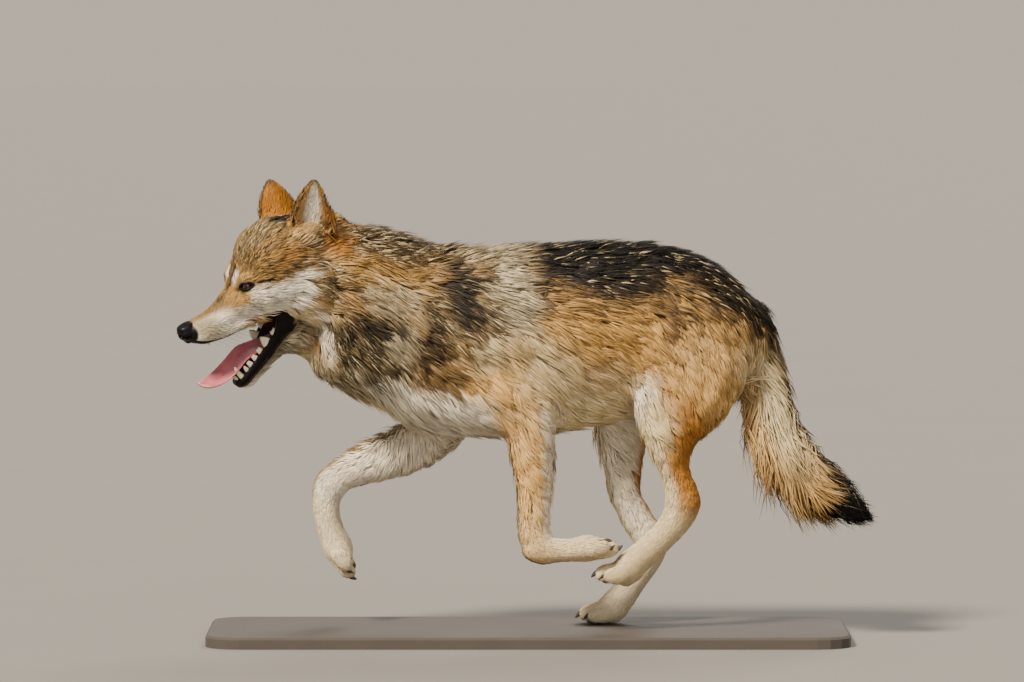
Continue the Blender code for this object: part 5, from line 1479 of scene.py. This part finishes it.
def mottled(name, dark, light, patch, detail=2.0, **values):
    """A material of two tones that drift into each other over patches of so many millimetres."""
    made, tree, shader = material(name, **values)
    place = node(tree, "ShaderNodeTexCoord").outputs["Object"]
    patches = node(tree, "ShaderNodeTexNoise", {"Vector": place},
                   {"Scale": 1000 / patch, "Detail": detail})
    tone = node(tree, "ShaderNodeMix", {0: patches.outputs["Fac"]},
                {6: rgba(dark), 7: rgba(light)}, data_type="RGBA")
    tree.links.new(tone.outputs[2], shader.inputs["Base Color"])
    return made, tree, shader, place


def pebbled(tree, shader, place, cell, strength, height, invert=False):
    """Relief of rounded cells of so many millimetres; inverted, they are domes and not pits."""
    cells = node(tree, "ShaderNodeTexVoronoi", {"Vector": place}, {"Scale": 1000 / cell})
    bump = node(tree, "ShaderNodeBump", {"Height": cells.outputs["Distance"]},
                {"Strength": strength, "Distance": height}, invert=invert)
    tree.links.new(bump.outputs[0], shader.inputs["Normal"])


# damp nose leather: black, with a dull gleam that its pebbles break up
damp_leather, *surface = mottled("damp_nose_leather", "030303", "0D0B0B", NOSE_DUST, 4.0,
                                 **{"Roughness": 0.36, "IOR": 1.45, "Specular IOR Level": 0.12,
                                    "Coat Weight": 0.12, "Coat Roughness": 0.24})
pebbled(*surface, NOSE_CELL, strength=0.6, height=0.0005, invert=True)
nose_pad.data.materials.append(damp_leather)
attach(nose_pad, "root")
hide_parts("nose_pad")

# ===================================================================== tongue
# A wet strap of muscle with a groove down its middle. It lies on the lower
# teeth, is rolled over towards the left and hangs past the lip.
TONGUE = (  # y, z, half width, thickness, roll in degrees: root to tip
    (0.030, -0.110, 0.0175, 0.0095, 0),
    (0.002, -0.115, 0.0205, 0.0105, 4),
    (-0.028, -0.115, 0.0210, 0.0105, 13),
    (-0.048, -0.119, 0.0210, 0.0095, 23),
    (-0.072, -0.132, 0.0205, 0.0085, 28),
    (-0.097, -0.141, 0.0185, 0.0078, 26),
    (-0.120, -0.143, 0.0148, 0.0068, 20),
    (-0.132, -0.1405, 0.0098, 0.0050, 15),
    (-0.1375, -0.138, 0.0030, 0.0024, 15),
)
TONGUE_X, TONGUE_GROOVE = 0.002, 0.30        # sideways place; the groove's depth in half widths
FOLD_DEPTH, FOLD_WIDTH = 0.0011, 0.10
RIPPLE, RIPPLE_RATE = 0.0005, 700.0          # height; radians to the metre
PAPILLA, BLUSH = 1.11, 22.2                  # mm; real buds are finer and would not show
turns = np.linspace(0, 2 * math.pi, 36, endpoint=False)
t, lift = np.cos(turns), np.sin(turns)
edge = np.copysign(np.sqrt(np.clip(1 - np.abs(t) ** 3.2, 0, 1)), lift)
rings = []
for y, z, wide, thick, roll in eased(TONGUE, 7):
    middle = TONGUE_GROOVE * wide * (t * t - 1) - thick / 2
    fold = -FOLD_DEPTH * np.exp(-(t / FOLD_WIDTH) ** 2) * (lift > 0)
    ripple = RIPPLE * np.sin(y * RIPPLE_RATE + 2 * t) * t ** 2
    up = middle + edge * thick * 0.5 + fold + ripple
    c, s = math.cos(math.radians(roll)), math.sin(math.radians(roll))
    rings.append(np.stack([TONGUE_X + wide * t * c + up * s, y + 0 * t, z - wide * t * s + up * c], 1))
tongue = new_mesh("tongue_flesh", *moved(HEAD, tube(np.array(rings))))
# wet tongue: blushing pink that light soaks into, velvety with small buds, with broad wet lights
wet_tongue, *surface = mottled("wet_tongue", "8E3F48", "D98088", BLUSH, 4.0,
                               **{"Roughness": 0.30, "IOR": 1.40, "Subsurface Weight": 0.12,
                                  "Subsurface Scale": 0.004, "Coat Weight": 0.35,
                                  "Coat Roughness": 0.12})
pebbled(*surface, PAPILLA, strength=0.35, height=0.0004)
tongue.data.materials.append(wet_tongue)
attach(tongue, "root")
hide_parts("tongue")

# ====================================================================== teeth
# Enamel, ivory with use: small front teeth, long back-curved canines and the
# cusped cheek teeth, rooted in both jaws just inside the lips.
TEETH = {  # forward, out, height, half length, half width, cusps
    "upper": (HEAD, -1, -0.0615, (
        (0.1130, 0.0030, 0.0055, 0.0022, 0.0022, 1), (0.1115, 0.0080, 0.0065, 0.0025, 0.0024, 1),
        (0.1030, 0.0158, 0.0165, 0.0042, 0.0030, 1), (0.0870, 0.0180, 0.0060, 0.0032, 0.0022, 1),
        (0.0720, 0.0195, 0.0080, 0.0055, 0.0028, 2), (0.0580, 0.0210, 0.0085, 0.0058, 0.0030, 2),
        (0.0420, 0.0232, 0.0115, 0.0085, 0.0036, 2), (0.0250, 0.0262, 0.0070, 0.0060, 0.0045, 2))),
    "lower": (HEAD @ JAW, 1, -0.0745, (
        (0.1080, 0.0025, 0.0070, 0.0020, 0.0020, 1), (0.1065, 0.0070, 0.0080, 0.0023, 0.0022, 1),
        (0.0985, 0.0136, 0.0210, 0.0048, 0.0036, 1), (0.0845, 0.0168, 0.0100, 0.0042, 0.0030, 1),
        (0.0730, 0.0182, 0.0135, 0.0062, 0.0036, 2), (0.0595, 0.0198, 0.0145, 0.0068, 0.0038, 2),
        (0.0450, 0.0216, 0.0165, 0.0076, 0.0044, 2), (0.0265, 0.0250, 0.0230, 0.0112, 0.0056, 3),
        (0.0050, 0.0290, 0.0215, 0.0104, 0.0060, 2))),
}
TOOTH_ROOT, TOOTH_SIDES, TOOTH_RINGS, TOOTH_STAIN = 0.004, 16, 9, 3.85     # stain in mm


def joined(parts):
    """The points and faces of several pieces as one."""
    starts = np.cumsum([0] + [len(points) for points, faces in parts[:-1]])
    return (np.vstack([points for points, faces in parts]),
            np.vstack([faces + start for (points, faces), start in zip(parts, starts)]))


def tooth(side, direction, gum, row):
    """A tapering crown; one with a single cusp leans back, and others have their crown cut down."""
    forward, out, high, long, wide, cusps = row
    turns = np.linspace(0, 2 * math.pi, TOOTH_SIDES, endpoint=False)
    rings = []
    for t in np.linspace(0, 1, TOOTH_RINGS):
        slim = math.sqrt(max(1 - t ** 1.7, 0.0)) * 0.93 + 0.07
        back = 0.22 * high * t * t if cusps == 1 else 0.0
        up = np.full(TOOTH_SIDES, gum + direction * (high * t - TOOTH_ROOT * (1 - t)))
        if cusps > 1:
            place = np.sin(turns) * slim
            dip = 0.16 * high * t * (1 + np.cos(cusps * math.pi * place)) * (cusps == 2)
            up -= direction * (dip + 0.42 * high * t * np.abs(place) ** 1.3)
        rings.append(np.stack([side * out + wide * slim * np.cos(turns),
                               -forward + back + long * slim * np.sin(turns), up], 1))
    return tube(np.array(rings))


teeth = new_mesh("teeth", *joined([moved(jaw_turn, tooth(side, direction, gum, row))
                                   for jaw_turn, direction, gum, rows in TEETH.values()
                                   for side in (1, -1) for row in rows]))
# tooth enamel: warm ivory stained a little darker in patches, with a hard gloss
enamel, *_ = mottled("tooth_enamel", "C9B487", "F3ECD8", TOOTH_STAIN, 3.0,
                     **{"Roughness": 0.24, "IOR": 1.62, "Subsurface Weight": 0.05,
                        "Subsurface Scale": 0.002})
teeth.data.materials.append(enamel)
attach(teeth, "root")

# ====================================================================== claws
# Blunt worn horn, near black, four to a foot, each let into the end of a toe.
CLAW_LENGTH, CLAW_DROP, CLAW_RADIUS, CLAW_END = 0.01274, 0.0068, 0.0034, 0.0004
HORN_GRAIN = 3.33                # mm
t = np.linspace(0, 1, 10)
fat = CLAW_RADIUS * (1 - t ** 1.6) + CLAW_END
parts = []
for leg, turn in foot_turns.items():
    for side in (1, -1):
        for sideways, forward, above, wide, long, high in TOES:
            path = np.stack([sideways * side + 0 * t, forward + long * 0.80 + CLAW_LENGTH * t,
                             above + 0.002 - CLAW_DROP * t * t, fat * 1.25, fat * 0.85], 1)
            points, faces = hose(path, sides=14, steps=3)
            parts.append((points @ turn.T + leg_paths[leg][-1], faces))
claws = new_mesh("claws", *joined(parts))
claw_nodes = sorted(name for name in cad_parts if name.startswith("claw"))
# claw horn: near black streaked grey brown where it is scuffed, with a low polish
horn, *_ = mottled("claw_horn", "14100D", "4A4038", HORN_GRAIN, 3.0, Roughness=0.38, IOR=1.54)
claws.data.materials.append(horn)
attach(claws, "root")
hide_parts(*claw_nodes)

# ======================================================================= pads
# Thick rough black skin under each toe and behind them, on the sole side. The
# standing foot's pads are pressed flat on the board.
PAD_DOWN, PAD_ROUND = 12, 18     # rings from top to sole, and points in each
SOLE_CELL, SOLE_DUST = 1.25, 11.1        # mm; the skin's real pimples are finer and would not show
BOARD_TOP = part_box("stand_base")[1][2]
tilt = np.linspace(0, math.pi, PAD_DOWN)[1:-1]
turns = np.linspace(0, 2 * math.pi, PAD_ROUND, endpoint=False)
dome = np.stack([np.outer(np.sin(tilt), np.cos(turns)), np.outer(np.sin(tilt), np.sin(turns)),
                 np.repeat(np.cos(tilt)[:, None], PAD_ROUND, 1)], -1)
parts = []
for leg, turn in foot_turns.items():
    for row in PADS:
        points, faces = tube(dome * row[3:] + row[:3])
        points = points @ turn.T + leg_paths[leg][-1]
        points[:, 2] = np.maximum(points[:, 2], BOARD_TOP + 0.0002)
        parts.append((points, faces))
pads = new_mesh("paw_pads", *joined(parts))
# paw pad skin: dry and calloused, so dull, black with dust worked into its pits
sole, *surface = mottled("paw_pad_skin", "161311", "564C44", SOLE_DUST, 4.0, Roughness=0.66, IOR=1.45)
pebbled(*surface, SOLE_CELL, strength=0.7, height=0.0006)
pads.data.materials.append(sole)
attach(pads, "root")

# =================================================================== whiskers
# Stiff tapered black hairs in four rows along each upper lip, drawn back along
# the cheek and longer towards the rear.
WHISKER_ROWS, WHISKERS_IN_ROW, WHISKER_RADIUS = 4, 6, 0.00030
WHISKER_TONE = 16.7              # mm
t = np.linspace(0, 1, 9)[:, None]
parts = []
for side in (1, -1):
    for row in range(WHISKER_ROWS):
        for k in range(WHISKERS_IN_ROW):
            y = -0.104 + 0.0085 * k + 0.002 * (row % 2)
            z = -0.043 - 0.0065 * row
            for x in np.linspace(0.012, 0.045, 34):      # outwards until it leaves the lip
                if head.sample(head.away, np.array([[x * side, y, z]]))[0] > 0:
                    break
            start = np.array([(x - 0.001) * side, y, z])
            long = 0.022 + 0.0065 * k + 0.004 * rng.random()
            way = np.array([side * 0.75, 0.50 + 0.05 * k, -0.20 - 0.16 * row])
            way = way / np.linalg.norm(way)
            path = start + way * long * t + np.array([0, 0.20, -0.16]) * long * t ** 2
            rows = np.hstack([path, np.repeat(WHISKER_RADIUS * (1.06 - t), 2, 1)])
            parts.append(moved(HEAD, hose(rows, sides=5, steps=1, across=(0, 0, 1))))
whiskers = new_mesh("whiskers", *joined(parts))
# whisker bristle: stiff keratin, near black with a faint shine
bristle, *_ = mottled("whisker_bristle", "0E0B09", "3A3028", WHISKER_TONE, Roughness=0.4, IOR=1.54)
whiskers.data.materials.append(bristle)
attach(whiskers, "root")

# ======================================================================= base
# A flat wooden board 20 mm thick with rounded corners, painted a warm dark grey
# and rubbed down to a satin finish. The standing foot is fixed to it.
PAINT_PATCH, BRUSH_MARK = 111, 3.85      # mm; a real brush leaves finer marks, which would not show
BRUSH_DRAW = 0.05                        # a mark's width as a share of its length

# satin board paint: an even warm dark grey, softly lit, with a faint drag of the brush
board_paint, tree, shader, place = mottled("satin_board_paint", "423D38", "514B45", PAINT_PATCH, 4.0,
                                           **{"Roughness": 0.55, "IOR": 1.5,
                                              "Specular IOR Level": 0.25})
drawn = node(tree, "ShaderNodeMapping", {"Vector": place}, {"Scale": (1.0, BRUSH_DRAW, 1.0)})
brushed = node(tree, "ShaderNodeTexNoise", {"Vector": drawn.outputs[0]},
               {"Scale": 1000 / BRUSH_MARK, "Detail": 4.0, "Roughness": 0.6})
bump = node(tree, "ShaderNodeBump", {"Height": brushed.outputs["Fac"]},
            {"Strength": 0.2, "Distance": 0.0004})
tree.links.new(bump.outputs[0], shader.inputs["Normal"])
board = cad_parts["stand_base"]
for face_slot in board.material_slots:
    face_slot.material = board_paint
if not board.material_slots:
    board.data.materials.append(board_paint)

# ====================================================================== stage
# A plain pale floor, broad soft lamps and a nearly level camera on the left side.
FLOOR_HALF, FLOOR_PATCH = 60, 333        # metres; mm
corners = np.array([[-1, -1, 0], [1, -1, 0], [1, 1, 0], [-1, 1, 0]], float) * FLOOR_HALF
floor = new_mesh("floor", corners, np.zeros((0, 3), int), np.array([[0, 1, 2, 3]]))
# matt floor paint: even and dull, so that it shows only the shadow
pale, *_ = mottled("pale_floor", "7C7973", "807C76", FLOOR_PATCH, Roughness=0.85)
floor.data.materials.append(pale)

world = bpy.data.worlds.new("studio")
bpy.context.scene.world = world
world.use_nodes = True
tree = world.node_tree
tree.nodes.clear()
# the room's light, and the wall behind, which is seen in the floor's own tone
room, wall = (node(tree, "ShaderNodeBackground", values={"Color": rgba(tone), "Strength": 0.64})
              for tone in ("E8E6E2", "FBEDD8"))
seen = node(tree, "ShaderNodeLightPath").outputs["Is Camera Ray"]
both = node(tree, "ShaderNodeMixShader", {0: seen, 1: room.outputs[0], 2: wall.outputs[0]})
node(tree, "ShaderNodeOutputWorld", {"Surface": both.outputs[0]})

for name, way, spread, strength, tone in (
        ("key", (1.7, -1.4, 2.1), 12, 7.2, "FFF1DE"),
        ("fill", (2.2, 0.8, 0.5), 60, 0.80, "F6F4F4"),
        ("rim", (-1.8, 0.6, 1.8), 30, 1.5, "FFF6EA")):
    lamp = bpy.data.lights.new(name, "SUN")
    lamp.angle, lamp.energy = math.radians(spread), strength
    lamp.color = linear(tone)
    stand = bpy.data.objects.new(name, lamp)
    stand.rotation_euler = Vector(way).to_track_quat("Z", "Y").to_euler()
    bpy.context.scene.collection.objects.link(stand)

CAMERA_DISTANCE, CAMERA_RISE, VIEW_WIDTH = 12.0, math.radians(3.0), 1.761
SENSOR_WIDTH = 36.0              # mm
AIM = Vector((0.0, -0.0275, 0.5136))
lens = bpy.data.cameras.new("camera")
lens.lens = SENSOR_WIDTH * CAMERA_DISTANCE / VIEW_WIDTH
lens.clip_end = 200.0
camera = bpy.data.objects.new("camera", lens)
away = Vector((math.cos(CAMERA_RISE), 0.0, math.sin(CAMERA_RISE)))
camera.location = AIM + away * CAMERA_DISTANCE
camera.rotation_euler = away.to_track_quat("Z", "Y").to_euler()
bpy.context.scene.collection.objects.link(camera)
bpy.context.scene.camera = camera
